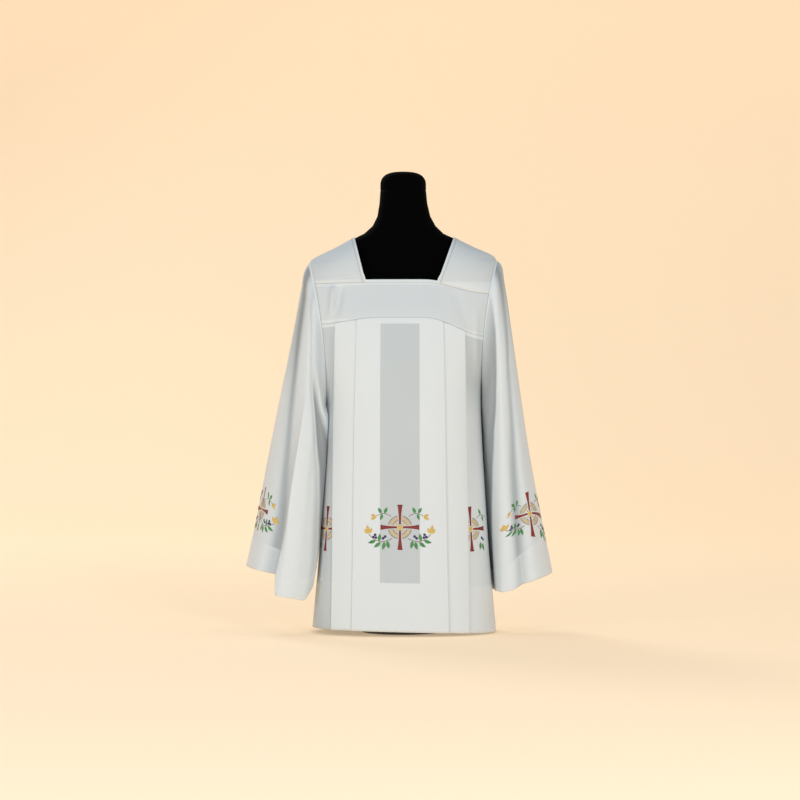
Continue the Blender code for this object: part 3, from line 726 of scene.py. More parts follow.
def pleat_path(share, wander):
    """Half of a pleated row: distances from the middle, how far out the cloth lies, and its tone.

    Outwards from the middle the cloth runs to a fold, turns under and back, turns again and runs on
    beneath, twice over. Each turn is half a circle from one layer to the next. Three layers look white.
    """
    pitch = between(*PLEAT_PITCH, share)
    inner = between(*PLEAT_INNER, share)
    folds = [between(*fold, share) + stray for fold, stray in zip(PLEAT_FOLDS, wander)]
    radius = pitch / 2
    turn = np.radians(np.linspace(90, -90, TURN_POINTS))
    first = spread([0.0, inner - TONE_STEP, inner + TONE_STEP, folds[0] - radius], [14, 1, 16])[:-1]
    top = LAYERS
    runs = [(first, top, first > inner)]
    for fold, back in zip(folds, (inner, folds[0])):
        runs.append((fold - radius + radius * np.cos(turn), top - 0.5 + 0.5 * np.sin(turn), 1))
        runs.append((spread([fold - 2 * radius, back + 2 * radius], [8])[1:-1], top - 1, 1))
        runs.append((back + 2 * radius - radius * np.cos(turn), top - 1.5 + 0.5 * np.sin(turn), 1))
        top -= 2
        # Beneath the fold, and on past it to the next
        onward = folds[1] - radius if top > 0 else folds[1] + PAST_FOLD
        run = spread([back + TURN_CLEAR * radius, fold - radius, fold + TONE_STEP, onward], [6, 2, 14])
        run = run[:-1] if top > 0 else run
        runs.append((run, top, (run <= fold) | (top > 0)))
    place, layer, tone = (np.concatenate([run[i] + 0.0 * run[0] for run in runs]) for i in range(3))
    return place, layer * pitch, tone


def body_creases(face, x, z):
    """How far the body's cloth stands out of its plain section at X and Z.

    Each crease is a bell across its line that fades out past both ends. All fade out at the armholes, side
    seams and top seam, where the cloth is sewn.
    """
    out = 0 * x
    for from_x, from_z, to_x, to_z, breadth, height in BODY_CREASES[face]:
        run_x, run_z = to_x - from_x, to_z - from_z
        length = math.hypot(run_x, run_z)
        along = ((x - from_x) * run_x + (z - from_z) * run_z) / length
        off = ((x - from_x) * run_z - (z - from_z) * run_x) / length
        ends = swell(along, *(share * length for share in CREASE_SPAN))
        out = out + height * bell(off, breadth) * ends
    seam = seam_top(face, x)
    return out * (1 - smooth(z, seam - CREASES_END, seam - SEAM))


EDGE_SEWN = 0.75  # share of the way to a row's edge from which its creases fade
PASSES = 5
NEAR_EDGE = 0.190  # first guess of how far from the middle a row ends


def first_x(side, place, shares):
    """A row's X before it has settled."""
    return BODY_MIDDLE + side * np.concatenate([place, NEAR_EDGE + 0 * shares])


def half_row(face, side, height, place, out, shares):
    """One side of a row: points at the given places from the body's middle, then shares of the way on.

    Height depends on X and the edge on height, so the row settles in a few passes.
    """
    x = first_x(side, place, shares)
    z = height(x)
    sewn = np.concatenate([1 + 0 * place, 1 - smooth(shares, EDGE_SEWN, 1.0)])
    beyond = np.sign(np.concatenate([place + 1e-9, 1 + 0 * shares]))
    for _ in range(PASSES):
        angle = angle_at(face, side, z[: len(place)], place)
        angle = np.concatenate([angle, between(angle[-1], edge_angle(face, side, z[-1]), shares)])
        points = body_points(face, side, z, angle, out + body_creases(face, x, z) * sewn)
        x = BODY_MIDDLE + (points[:, 0] - BODY_MIDDLE) * beyond
        z = height(x)
    points = np.stack([x, points[:, 1], z], axis=-1)
    if abs(points[-1, 1]) < GAP:
        points[-1, 1] = FORWARD[face] * GAP / 2
    return points


def whole_row(face, halves):
    """Both sides of a row, from left to right as seen from outside, with the middle once."""
    left, right = halves
    row = np.concatenate([left[:0:-1], right])
    return row if face == "front" else row[::-1]


# How each pleat's fold strays from its straight line: how far, and how many radians it turns on the way down
STRAYS = ((0.0011, 5.2), (0.0014, 4.1))
PHASES = {("front", -1): 0.4, ("front", 1): 2.1, ("back", -1): 3.3, ("back", 1): 5.0}


def fold_wander(face, side, share):
    """How far each pleat's fold strays at a share of the way down: a sine that grows from the top."""
    phase = PHASES[face, side]
    phases = (phase, 2 * phase + 1)
    return [far * math.sin(turns * share + start) * share for (far, turns), start in zip(STRAYS, phases)]


SIDE_SHARES = np.linspace(0, 1, 36)[1:]
# Tone beside the pleats and at the side, and the shares of the way down between which the second sets in.
# Below 0 it is painted shade; above 0, on this single layer, it is painted light
SIDE_TONE = {-1: (-0.35, 0.95, 0.10, 0.30), 1: (0.78, 0.78, 0.10, 0.30)}
SIDE_SPAN = (0.1, 0.5)  # shares of the way from the pleats to the side between which the tone changes
SIDE_SHADE = -0.20  # painted shade: the right side's tone beside the armhole
# Tone of the turned-up hem past the pleats: painted shade on the left, near the double layer's white on the
# right
HEM_SIDE_TONE = {-1: -0.15, 1: 0.90}
# Seam allowance behind a panel's top edge, in its middle and at its sides, and where it changes
ALLOWANCE = (0.0145, 0.0080)
ALLOWANCE_SPAN = (0.070, 0.165)
ALLOWANCE_EDGE = (-0.0006, 0.0010)
ALLOWANCE_TONE = 0.95
TOP_ROWS = (0.0030, 0.0240)  # shares of a panel's height at its top's stitched line and its finer rows' end
HEM_EDGE = 0.001  # half the share of a piece's height over which its wall thickens to the hem's
HEM_STITCHES = 0.004  # share of a panel's height from its hem's edge to the stitched line


def pleated_panel(face):
    """The front or back below its yoke strip, from armhole and side seam to side seam."""
    hem_share = 1 - (HEM_BAND - HEM) / (SEAM_LOW[face] - HEM)
    hem_rows = [hem_share - HEM_EDGE, hem_share + HEM_EDGE, hem_share + HEM_STITCHES]
    shares = spread([0.0, *TOP_ROWS, *hem_rows, 1.0], [1, 12, 84, 1, 1, 14])
    rows, tones = [], []
    for share in shares:

        def height(x):
            return (seam_low(face, x) - SEAM / 2) * (1 - share) + hem(x) * share

        halves, half_tones = [], []
        for side in (-1, 1):
            place, out, tone = pleat_path(share, fold_wander(face, side, share))
            place = place + side * (PLEAT_MIDDLE - BODY_MIDDLE)
            out = np.concatenate([out, 0 * SIDE_SHARES])
            # painted shade and painted light on the plain cloth at each side
            beside, edge, begins, whole = SIDE_TONE[side]
            lower = smooth(share, begins, whole)
            plain = beside + (edge - beside) * smooth(SIDE_SHARES, *SIDE_SPAN) * lower
            if side > 0:
                plain = between(SIDE_SHADE, plain, lower)
            if share >= hem_share:
                tone, plain = 1 + 0 * tone, HEM_SIDE_TONE[side] + 0 * plain
            halves.append(half_row(face, side, height, place, out, SIDE_SHARES))
            half_tones.append(np.concatenate([tone[:-1], plain[:1], plain]))
        halves[0][0] = halves[1][0] = (halves[0][0] + halves[1][0]) / 2
        rows.append(whole_row(face, halves))
        tones.append(whole_row(face, half_tones))
    grid = np.array(rows)
    down = seam_low(face, grid[..., 0]) - grid[..., 2]
    turned = between(*ALLOWANCE, smooth(np.abs(grid[..., 0]), *ALLOWANCE_SPAN))
    tone = np.maximum(np.array(tones), ALLOWANCE_TONE * (1 - smooth(down - turned, *ALLOWANCE_EDGE)))
    hem_line = int(np.flatnonzero(shares >= hem_share)[1])
    cloth_piece(
        f"surplice_{face}",
        f"body_{face}",
        grid,
        tone,
        double=shares >= hem_share,
        lines=(1, hem_line),
        held="draped",
        rests_on=["form_torso"],
        with_pieces=SEWN_ON[face],
    )


YOKE_TONE = 0.54
BAND_TONE = 0.38
LOW_BAND_SHARE = (1.0, 0.5)  # of that tone, to the left and to the right
BAND_EDGE = (-0.0006, 0.0008)
YOKE_SPAN = (0.070, 0.175)  # distances from the pleats' middle between which their layers end under a yoke
# Seam allowance below a yoke's top seam and above its lower one: its height in the middle, and how it changes
# to the left and to the right between two distances
TOP_BAND = (0.0048, (0.0022, 0.060, 0.150), (-0.0048, 0.060, 0.130))
LOW_BAND = (0.0, (0.0085, 0.090, 0.150), (0.0065, 0.110, 0.160))


def yoke_out(face, x, z):
    """How far a yoke strip stands out: over the pleats' layers along its lower seam, flush at its top."""
    across = 1 - smooth(np.abs(x - PLEAT_MIDDLE), *YOKE_SPAN)
    return LAYERS * PLEAT_PITCH[0] * across * (1 - smooth(z, SEAM_LOW[face], SEAM_TOP[face]))


def in_band(away, x, band):
    """1 within a band of seam allowance that lies so far away from its seam, 0 past its edge."""
    middle, (left, *left_span), (right, *right_span) = band
    height = middle + left * smooth(-x, *left_span) + right * smooth(x, *right_span)
    return 1 - smooth(away - height, *BAND_EDGE)


def yoke_strip(face):
    """The strip between the two seams, from armhole to armhole."""
    place = np.linspace(0, 0.16, 60)
    shares = np.linspace(0, 1, 16)[1:]
    rows = []
    for share in spread([0.0, 0.110, 0.890, 1.0], [9, 18, 9]):

        def height(x):
            return (seam_top(face, x) - SEAM / 2) * (1 - share) + (seam_low(face, x) + SEAM / 2) * share

        halves = []
        for side in (-1, 1):
            x = first_x(side, place, shares)
            halves.append(half_row(face, side, height, place, yoke_out(face, x, height(x)), shares))
        rows.append(whole_row(face, halves))
    grid = np.array(rows)
    x, z = grid[..., 0], grid[..., 2]
    under = in_band(seam_top(face, x) - z, x, TOP_BAND)
    above = in_band(z - seam_low(face, x), x, LOW_BAND) * np.where(x < 0, *LOW_BAND_SHARE)
    tone = YOKE_TONE + BAND_TONE * np.maximum(under, above)
    cloth_piece(f"yoke_strip_{face}", f"yoke_{face}", grid, tone, lines=(1, -2), held="stretched")


ARM_PULL = (4, 36)  # how sharply a shoulder piece turns to the armhole's line, and how much more at its seams
PULL_SPAN = 0.2  # share of the rise over which that changes


def saddle(side, across, over, inset=0.0):
    """Points over one shoulder.

    across runs from the neck's edge, less inset, at 0 to the armhole at 1. over runs from the front seam at
    -1 over the shoulder line at 0 to the back seam at 1, on |y/d|^n + |z/h|^n = 1 above each seam.
    """
    turn = np.abs(over) * math.pi / 2
    rise = np.cos(turn) ** (2 / SADDLE)
    reach = np.sin(turn) ** (2 / SADDLE)
    result = np.zeros((*np.broadcast(across, over).shape, 3))
    for face, here in (("front", over < 0), ("back", over >= 0)):
        edge_x, _ = armhole(side, seam_top(face, side * ARMHOLE_TOP[side][0]))
        eased = across + (1 - across) * across**4
        low_x = between(NECK_LOW[side] - inset, edge_x, eased)
        low_z = seam_top(face, side * low_x) + SEAM / 2
        angle = angle_at(face, side, low_z, low_x - side * BODY_MIDDLE)
        low = body_points(face, side, low_z, angle, 0 * low_x)
        top_x = between(NECK_TOP[side] - inset, ARMHOLE_TOP[side][0], across)
        top_z = np.where(across > 0.999, ARMHOLE_TOP[side][1], shoulder(side * top_x))
        x, z = between(low_x, top_x, rise), between(low_z, top_z, rise)
        arm_x, arm_y = armhole(side, z)
        pull = across ** (ARM_PULL[0] + ARM_PULL[1] * (1 - smooth(rise, 0.0, PULL_SPAN)))
        x, y = between(x, arm_x, pull), between(np.abs(low[..., 1]) * reach, arm_y, pull)
        points = np.stack([side * x, FORWARD[face] * y, z], axis=-1)
        result = np.where(here[..., None], points, result)
    return result


SHOULDER_TONE = 0.36
SHOULDER_BAND_TONE = 0.5
SHOULDER_BAND_EDGE = (-0.0030, 0.0035)
BAND_TOP = {-1: 0.8105, 1: 0.8060}  # how high the seam allowance shows through a shoulder piece's front


def shoulder_piece(side, name):
    """One shoulder piece, doubled along its seams."""
    across = np.linspace(0, 1, 48)
    over = spread([-1.0, -0.94, -0.93, 0.93, 0.94, 1.0], [3, 1, 88, 1, 3])
    across, over = np.meshgrid(across, over, indexing="ij")
    grid = saddle(side, across, over, inset=-NECK_STRIP - SEAM)
    line = BAND_TOP[side] - np.where(over < 0, 0, SEAM_TOP["front"] - SEAM_TOP["back"])
    tone = SHOULDER_TONE + SHOULDER_BAND_TONE * (1 - smooth(grid[..., 2] - line, *SHOULDER_BAND_EDGE))
    if side < 0:
        grid, tone = grid[::-1], tone[::-1]
    cloth_piece(
        f"shoulder_piece_{name}",
        f"shoulder_{name}",
        grid,
        tone,
        lines=(-3,) if side > 0 else (2,),
        sides=(3, -4),
        held="stretched",
        rests_on=["form_torso"],
    )


NECK_TONES = (1.0, 0.85, 0.40, 0.34, 0.40)  # of the strip over the shoulders, from its edge to its seam
NECK_END_TONE = 0.95  # of its front and back


def neck_strip():
    """The strip round the neck's edge: over each shoulder, and along the top of the front and back yoke."""
    over = np.linspace(-1, 1, 81)
    along = np.linspace(0, 1, 41)[1:-1]
    edges = []
    for share in np.linspace(0, 1, len(NECK_TONES)):
        inset, rise = -NECK_STRIP * share, NECK_STRIP * (1 - share)
        right = saddle(1, np.zeros_like(over), over, inset)
        left = saddle(-1, np.zeros_like(over), over[::-1], inset)
        runs = []
        for face, start, end in (("back", right[-1, 0], left[0, 0]), ("front", left[-1, 0], right[0, 0])):
            x = between(start, end, along)
            z = seam_top(face, x) + SEAM / 2 + rise
            halves = []
            for side in (-1, 1):
                angle = angle_at(face, side, z, np.abs(x - BODY_MIDDLE))
                halves.append(body_points(face, side, z, angle, 0.0))
            runs.append(np.where((x < BODY_MIDDLE)[:, None], *halves))
        for side_run in (right, left):
            side_run[:, 2] += rise * smooth(np.abs(over), 0.90, 1.0)
        edges.append(np.concatenate([right, runs[0], left, runs[1]]))
    side_tone = np.array(NECK_TONES)[:, None] + 0 * over
    end_tone = np.full((len(NECK_TONES), len(along)), NECK_END_TONE)
    tone = np.concatenate([side_tone, end_tone, side_tone, end_tone], axis=1)
    cloth_piece(
        "neck_edge_strip",
        "neck_strip",
        np.array(edges),
        tone,
        closed=True,
        lines=(1,),
        wall=HEM_WALL,
        held="stretched",
    )


def groove(path, breadth, run, degrees):
    """1 along a path down the sleeve, given in degrees at GROOVE_RUNS, falling away evenly beside it."""
    return round_bell(degrees - np.interp(run, GROOVE_RUNS, path), breadth)


def edge_at(side, run):
    """Degrees at which the front's inner edge lies."""
    return np.interp(run, GROOVE_RUNS, EDGES[side][0])


def beyond_edge(side, run, degrees):
    """1 between the front's inner edge and the sleeve's inner line, 0 elsewhere."""
    off = degrees - edge_at(side, run)
    return smooth(off, *EDGE_SOFT) * (1 - smooth(degrees, *INNER_LINE)) * smooth(run, *EDGES[side][1])


def pucker(side, run, degrees):
    """1 at the pucker beside the left armhole, falling away evenly round it."""
    run_at, run_breadth, at, breadth = PUCKER
    return bell(run - run_at, run_breadth) * bell(degrees - at, breadth) * (side < 0)


def fold_offsets(side, run, degrees):
    """Sums of the sleeve's folds and creases, outwards, and how far its cuff's flap hangs lower.

    Each fold is a soft bell round the sleeve. A fold deepens towards the cuff, a crease swells and fades.
    """
    out = 0 * run * degrees
    for top, cuff, depth, breadth, starts in FOLDS[side]:
        near = round_bell(degrees - between(top, cuff, run), breadth)
        out = out + depth * near * smooth(run, starts, 1.0) ** FOLD_GROWTH
    for top, cuff, depth, breadth, starts, whole, ends in CREASES[side]:
        near = round_bell(degrees - between(top, cuff, run), breadth)
        out = out + depth * near * swell(run, starts, whole, whole, ends)
    for path, breadth, depth, _ in GROOVES[side]:
        out = out + depth * groove(path, breadth, run, degrees) * smooth(run, *GROOVES_START)
    past, breadth = EDGE_GROOVE
    beside = beyond_edge(side, run, degrees) * round_bell(degrees - edge_at(side, run) - past, breadth)
    out = out + EDGE_DEPTH * beside * smooth(run, *EDGE_START)
    out = out + PUCKER_HEIGHT * pucker(side, run, degrees)
    *flap, drop = CUFF_FLAP[side]
    return out, drop * swell(degrees, *flap) * smooth(run, FLAP_RUN, 1.0)


def sleeve_points(side, run, degrees):
    """Points on a sleeve. Round it, 0 is the outer line, 90 the front, 180 the inner line and 270 the back.

    Each section is an oval between the outer and inner line, P = middle + half cos a + depth sin a, leaned
    so that its front swings towards the body, with the folds added along its own normal.
    """
    table = SLEEVES[side]
    names = ("outer_x", "outer_z", "inner_x", "inner_z", "half_depth", "lean", "lap")
    outer_x, outer_z, inner_x, inner_z, depth, lean, lap = (table.at(name, run) for name in names)
    angle = np.radians(degrees)
    cosine, sine = np.cos(angle), np.sin(angle)
    share = (1 + cosine) / 2
    x = between(inner_x, outer_x, share) - ARMHOLE_BOW * sine**2 * (1 - smooth(run, 0.0, BOW_END))
    z = between(inner_z, outer_z, share)
    y = -depth * sine
    x = x - lean * sine
    lap = lap * round_bell(degrees - LAP_AT[side], LAP_BREADTH)
    lap = lap + FRONT_LAP[side] * round_bell(degrees - FRONT_LAP_AT, LAP_BREADTH)
    x = x - lap * (1 - smooth(z - UNDERARM[side], -LAP_BELOW[0], -LAP_BELOW[1]))
    over_at, over_breadth, over, more = FLAP_OVER[side]
    over = over * smooth(run, *OVER_RUNS) + more * swell(run, *MORE_RUNS)
    x = x + over * round_bell(degrees - over_at, over_breadth)
    length = np.hypot(outer_x - inner_x, outer_z - inner_z) / 2
    across = np.stack([outer_x - inner_x, 0 * outer_x, outer_z - inner_z], -1) / (2 * length[..., None])
    normal_u, normal_v = cosine / length, sine / depth
    size = np.hypot(normal_u, normal_v)
    push, down = fold_offsets(side, run, degrees)
    normal = across * (normal_u / size)[..., None]
    normal[..., 1] -= normal_v / size
    points = np.stack([x, y, z], -1) + normal * push[..., None]
    points[..., 0] *= side
    points[..., 2] -= down
    return points


SLEEVE_TONE = 0.80
PUSH_TONE = 12  # painted light: tone added for each metre that the cloth stands out, and taken off where it lies in
CUFF_TONE = (0.7, 0.42)  # the share of it that stays at the turned-up cuff, and what is added
SLEEVE_SEAM = (0.013, 0.85)  # run of the seam allowance at the armhole, and its least tone
SLEEVE_COLUMN = 1.25  # degrees from one column to the next


def sleeve(side, name):
    """A sleeve with its turned-up cuff, with painted shade in its troughs and painted highlight on its
    ridges.
    """
    hem_edge = [SLEEVE_HEM - HEM_EDGE, SLEEVE_HEM + HEM_EDGE]
    runs = spread([0.0, 0.012, 0.014, 0.10, *hem_edge, 1.0], [4, 1, 26, 110, 1, 14])
    run, degrees = np.meshgrid(runs, np.arange(0, 360, SLEEVE_COLUMN), indexing="ij")
    grid = sleeve_points(side, run, degrees)
    push, _ = fold_offsets(side, run, degrees)
    # painted highlight where the cloth stands out, painted shade where it lies in
    tone = SLEEVE_TONE + PUSH_TONE * push
    # painted highlight and painted shade along each groove
    for path, breadth, _, whiter in GROOVES[side]:
        tone = tone + whiter * groove(path, breadth, run, degrees)
    at, breadth = OUTLINE
    # painted shade beside the outer line
    tone = tone + OUTLINE_SHADE * round_bell(degrees - at, breadth) * (1 - smooth(run, *OUTLINE_END))
    # painted highlight on the pucker
    tone = tone + PUCKER_TONE * pucker(side, run, degrees)
    # painted shade past the front's inner edge
    tone = np.minimum(tone, 1.0) + EDGE_SHADE * beyond_edge(side, run, degrees)
    tone = np.where(run >= SLEEVE_HEM, np.minimum(tone * CUFF_TONE[0] + CUFF_TONE[1], 1.0), tone)
    tone = np.where(run <= SLEEVE_SEAM[0], np.maximum(tone, SLEEVE_SEAM[1]), tone)
    if side > 0:
        grid, tone = grid[:, ::-1], tone[:, ::-1]
    hem_line = int(np.flatnonzero(runs >= SLEEVE_HEM)[1])
    cloth_piece(
        f"sleeve_cloth_{name}",
        f"sleeve_{name}",
        grid,
        tone,
        closed=True,
        double=runs >= SLEEVE_HEM,
        lines=(4, hem_line),
        held="draped",
        with_pieces=SEWN_ON[name],
    )


def panel_at(face, side, angle, z, layers):
    """Points on a pleated panel at an angle round its section and a height, so many layers of cloth out."""
    x = BODY_MIDDLE + side * body_half_width(face, side, z) * np.sin(angle) ** (2 / ROUNDING)
    share = (seam_low(face, x) - z) / (seam_low(face, x) - hem(x))
    out = layers * between(*PLEAT_PITCH, share)
    for _ in range(4):
        points = body_points(face, side, z, angle, out + body_creases(face, x, z))
        x = points[..., 0]
    return points


def on_panel_middle(face, centre_x, centre_z):
    """Place on the pleats' top layer, by X and Z, for a sprig in the middle of a panel."""

    def place(across, up):
        x, z = centre_x - FORWARD[face] * across, centre_z + up
        halves = []
        for side in (-1, 1):
            angle = angle_at(face, side, z, x - BODY_MIDDLE)
            halves.append(panel_at(face, side, angle, z, LAYERS))
        return np.where((x < BODY_MIDDLE)[..., None], *halves)

    return place


def on_panel_side(face, side, centre_x, centre_z):
    """Place on the plain cloth past the pleats, by the length of the section measured out from its middle."""
    angles = np.linspace(1e-4, math.pi / 2, 400)
    section = panel_at(face, side, angles, centre_z + 0 * angles, 0)
    away = run_along(section)
    middle = np.interp(abs(centre_x - BODY_MIDDLE), np.abs(section[:, 0] - BODY_MIDDLE), away)

    def place(across, up):
        angle = np.interp(middle - FORWARD[face] * side * across, away, angles)
        return panel_at(face, side, angle, centre_z + up, 0)

    return place


RUN_STEP, DEGREE_STEP = 0.01, 2  # over which a sleeve's directions are measured


def on_sleeve(side, centre_run, centre_degrees):
    """Place on a sleeve, by lengths across it and up it from a middle point."""

    def near(run, degrees):
        return sleeve_points(side, np.array([centre_run + run]), np.array([centre_degrees + degrees]))[0]

    one = (near(RUN_STEP, 0) - near(-RUN_STEP, 0)) / (2 * RUN_STEP)
    other = (near(0, DEGREE_STEP) - near(0, -DEGREE_STEP)) / (2 * DEGREE_STEP)
    down = one / np.linalg.norm(one)
    aside = np.cross(np.cross(down, other), down)
    aside *= np.sign(aside[0]) / np.linalg.norm(aside)
    steps = np.linalg.lstsq(np.stack([one, other], -1), np.stack([aside, -down], -1), rcond=None)[0]

    def place(across, up):
        run = centre_run + steps[0, 0] * across + steps[0, 1] * up
        degrees = centre_degrees + steps[1, 0] * across + steps[1, 1] * up
        return sleeve_points(side, run, degrees % 360)

    return place


def curve(start, middle, end, steps=14):
    """Quadratic Bezier path between two points, drawn towards a third."""
    t = np.linspace(0, 1, steps)[:, None]
    start, middle, end = (np.array(point, float) for point in (start, middle, end))
    return start * (1 - t) ** 2 + middle * 2 * t * (1 - t) + end * t**2


def leaf(thread, start, end, width, bend=0.0, crown=0.45):
    """A band from point to point that swells and narrows as a leaf does."""
    start, end = np.array(start, float), np.array(end, float)
    across = np.array([start[1] - end[1], end[0] - start[0]])
    path = curve(start, (start + end) / 2 + across * bend, end)
    t = np.linspace(0, 1, len(path))
    half = width / 2 * np.clip(np.sin(math.pi * t**0.85), 0.02, 1) ** 0.9
    return thread, path, half, crown


def disc(thread, centre, radius):
    """A round spot, as a band whose half width is a circle's."""
    t = np.linspace(-1, 1, 13) * 0.995
    path = np.array(centre, float) + np.stack([radius * t, 0 * t], -1)
    return thread, path, radius * np.sqrt(1 - t**2), 0.6


def stem(thread, path, width):
    """A thin band of even width along a path."""
    return thread, path, np.full(len(path), width / 2), 0.3


ARC_POINTS = 16


def arc(radius, begins, ends):
    """Part of a circle round the design's middle, from one angle in degrees to another."""
    turn = np.radians(np.linspace(begins, ends, ARC_POINTS))
    return radius * np.stack([np.cos(turn), np.sin(turn)], -1)


def sprig():
    """The embroidered design, in millimetres from its middle.

    A flared cross with a ring between its arms, a round boss, and four small sprays of leaves, buds and
    berries that mirror each other.
    """
    bands = [disc("yellow", (0, 0), 5.6)]
    for quarter in range(4):
        turn = math.radians(90 * quarter)
        ahead = np.array([math.cos(turn), math.sin(turn)])
        path = ahead * np.linspace(7.0, 43.0 + 8.0 * abs(ahead[1]), 12)[:, None]
        half = 2.4 + 3.6 * np.linspace(0, 1, 12) ** 2.4
        bands.append(("crimson", path, half, 0.6))
        begins = 90 * quarter
        bands.append(("beige", arc(21.0, begins + 14, begins + 76), np.full(ARC_POINTS, 4.0), 0.5))
        bands.append(stem("olive", arc(26.2, begins + 13, begins + 77), 1.3))
        bands.append(stem("olive", arc(15.8, begins + 17, begins + 73), 1.2))
        diagonal = turn + math.pi / 4
        aim = np.array([math.cos(diagonal), math.sin(diagonal)])
        bands.append(leaf("yellow", aim * 6.8, aim * 14.2, 4.2))
    for mirror in (-1, 1):
        flip = np.array([mirror, 1])
        lower = curve((18, -25), (46, -44), (69, -16), 20)
        upper = curve((20, 24), (36, 38), (53, 25), 16)
        bands.append(stem("olive", lower * flip, 1.5))
        bands.append(stem("olive", upper * flip, 1.3))
        for start, end, width, bend in (
            ((28, -31), (24, -48), 8.0, 0.10),
            ((35, -33.5), (39, -51), 8.0, -0.10),
            ((44, -33.5), (58, -45), 8.0, -0.12),
            ((54, -29.5), (71, -35), 7.5, -0.12),
            ((48, -31.5), (45, -14), 7.5, 0.12),
            ((34, 31.5), (28, 45), 7.0, -0.10),
            ((42, 31.5), (49, 44), 7.0, 0.10),
            ((40, 30.5), (44, 16), 6.5, -0.12),
        ):
            bands.append(leaf("green", start * flip, end * flip, width, bend * mirror))
        for start, end, width in (
            ((69, -15), (73, 5), 8.5),
            ((66.5, -14), (62, -1), 5.5),
            ((72, -15), (79, -4), 5.5),
            ((53, 24.5), (65, 17), 7.5),
            ((54, 26.5), (65.5, 28), 5.0),
        ):
            bands.append(leaf("yellow", start * flip, end * flip, width, crown=0.55))
        for centre in ((55, -17), (59, -22), (53.5, -23.5), (33, -21), (37.5, -25)):
            bands.append(disc("violet", centre * flip, 3.1))
    return bands


# How much of a sprig shows beside the sleeve or the pleats, across from its middle
LEFT_SPRIG = {"front": (-0.030, 0.030), "back": (-0.030, 0.030)}
RIGHT_SPRIG = {"front": (-0.020, 0.042), "back": (-0.042, 0.020)}
SATIN_FOOT = 0.00028  # from the middle of the cloth to the threads on its face
SATIN_ROUND = 10  # points round a band
NORMAL_STEP = 0.0004  # over which the cloth's normal is measured


def unit(vectors):
    """Vectors of the same direction and length 1."""
    return vectors / np.linalg.norm(vectors, axis=-1)[..., None]


def embroidery(name, place, within=(-1.0, 1.0)):
    """A sprig sewn on the cloth: padded bands of satin stitch, as one closed mesh.

    Across its path each band is (w cos p, h max(sin p, 0)^0.8), with w its half width and h its crown. It
    lies on the cloth by place, and is lifted along the cloth's normal. Bands outside within are hidden
    under other cloth and are left out.
    """
    phi = np.arange(SATIN_ROUND) * 2 * math.pi / SATIN_ROUND
    points, faces, maps, slots = [], [], [], []
    count = 0
    names = list(THREADS)
    for thread, path, half, crown in sprig():
        path, half = path / 1000, half / 1000
        if not within[0] < path[:, 0].mean() < within[1]:
            continue
        ahead = unit(np.gradient(path, axis=0))
        aside = np.stack([-ahead[:, 1], ahead[:, 0]], -1)
        off = half[:, None] * np.cos(phi)
        flat = path[:, None] + aside[:, None] * off[..., None]
        swollen = (half / half.max())[:, None] ** 0.5
        lift = SATIN_FOOT + crown / 1000 * swollen * np.clip(np.sin(phi), 0, 1) ** 0.8
        across, up = flat[..., 0], flat[..., 1]
        one = place(across + NORMAL_STEP, up) - place(across - NORMAL_STEP, up)
        other = place(across, up + NORMAL_STEP) - place(across, up - NORMAL_STEP)
        points.append((place(across, up) + unit(np.cross(one, other)) * lift[..., None]).reshape(-1, 3))
        maps.append(np.stack([run_along(path)[:, None] + 0 * off, off], -1).reshape(-1, 2))
        quads = (count + grid_faces(len(path), SATIN_ROUND, True)).tolist()
        total = count + off.size
        ends = (range(count, count + SATIN_ROUND)[::-1], range(total - SATIN_ROUND, total))
        faces += quads + [list(end) for end in ends]
        slots += [names.index(thread)] * (len(quads) + 2)
        count = total
    mesh = bpy.data.meshes.new(name)
    mesh.from_pydata(np.concatenate(points), [], faces)
    corners = np.empty(len(mesh.loops), int)
    mesh.loops.foreach_get("vertex_index", corners)
    layer = mesh.uv_layers.new(name="thread")
    layer.data.foreach_set("uv", np.concatenate(maps)[corners].reshape(-1).astype(np.float32))
    for thread in names:
        mesh.materials.append(SILKS[thread])
    mesh.polygons.foreach_set("material_index", slots)
    mesh.shade_smooth()
    piece = put_in_scene(name, mesh)
    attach(piece, "root")
    return piece


def form_ring(height, left, right, front, back, rounding, shift):
    """One level section of the form: |x/w|^n + |y/d|^n = 1, with its own w or d to each side."""
    angle = np.radians(np.arange(FORM_COLUMNS) * 360 / FORM_COLUMNS)
    cosine, sine = np.cos(angle), np.sin(angle)
    power = 2 / rounding
    width = np.where(cosine < 0, left, right)
    depth = np.where(sine < 0, front, back)
    x = width * np.sign(cosine) * np.abs(cosine) ** power + shift
    y = depth * np.sign(sine) * np.abs(sine) ** power
    return np.stack([x, y, height + 0 * x], -1)


def form_sections():
    """The form's level sections as one table, from the hips over the shoulders to the neck."""
    rows = [(*row, 0) for row in FORM]
    for height, front, back in FORM_SHOULDERS:
        line = SHOULDER_NECK + SHOULDER_FALL * SHOULDER_AT - SOLID_WALL / 2 - FORM_CLEAR - height
        left = min(line / (SHOULDER_FALL + SHOULDER_TILT), FORM_TIP[-1])
        right = min(line / (SHOULDER_FALL - SHOULDER_TILT), FORM_TIP[1])
        rows.append((height, left, right, front, back, OVAL, 0))
    for height, *sides in FORM_NECKS:
        rows.append((height, *sides, OVAL, FORM_NECK * float(smooth(height, *NECK_SHIFT))))
    return np.array(rows)


def closed_shell(name, grid):
    """A velvet mesh over level rings, with flat faces over its first and last."""
    piece = grid_mesh(name, grid, VELVET, closed=True)
    rows, columns, _ = grid.shape
    mesh = piece.data
    faces = [list(p.vertices) for p in mesh.polygons]
    faces.append(list(range(columns))[::-1])
    faces.append([(rows - 1) * columns + i for i in range(columns)])
    points = [v.co[:] for v in mesh.vertices]
    mesh.clear_geometry()
    mesh.from_pydata(points, [], faces)
    mesh.shade_smooth()
    return piece


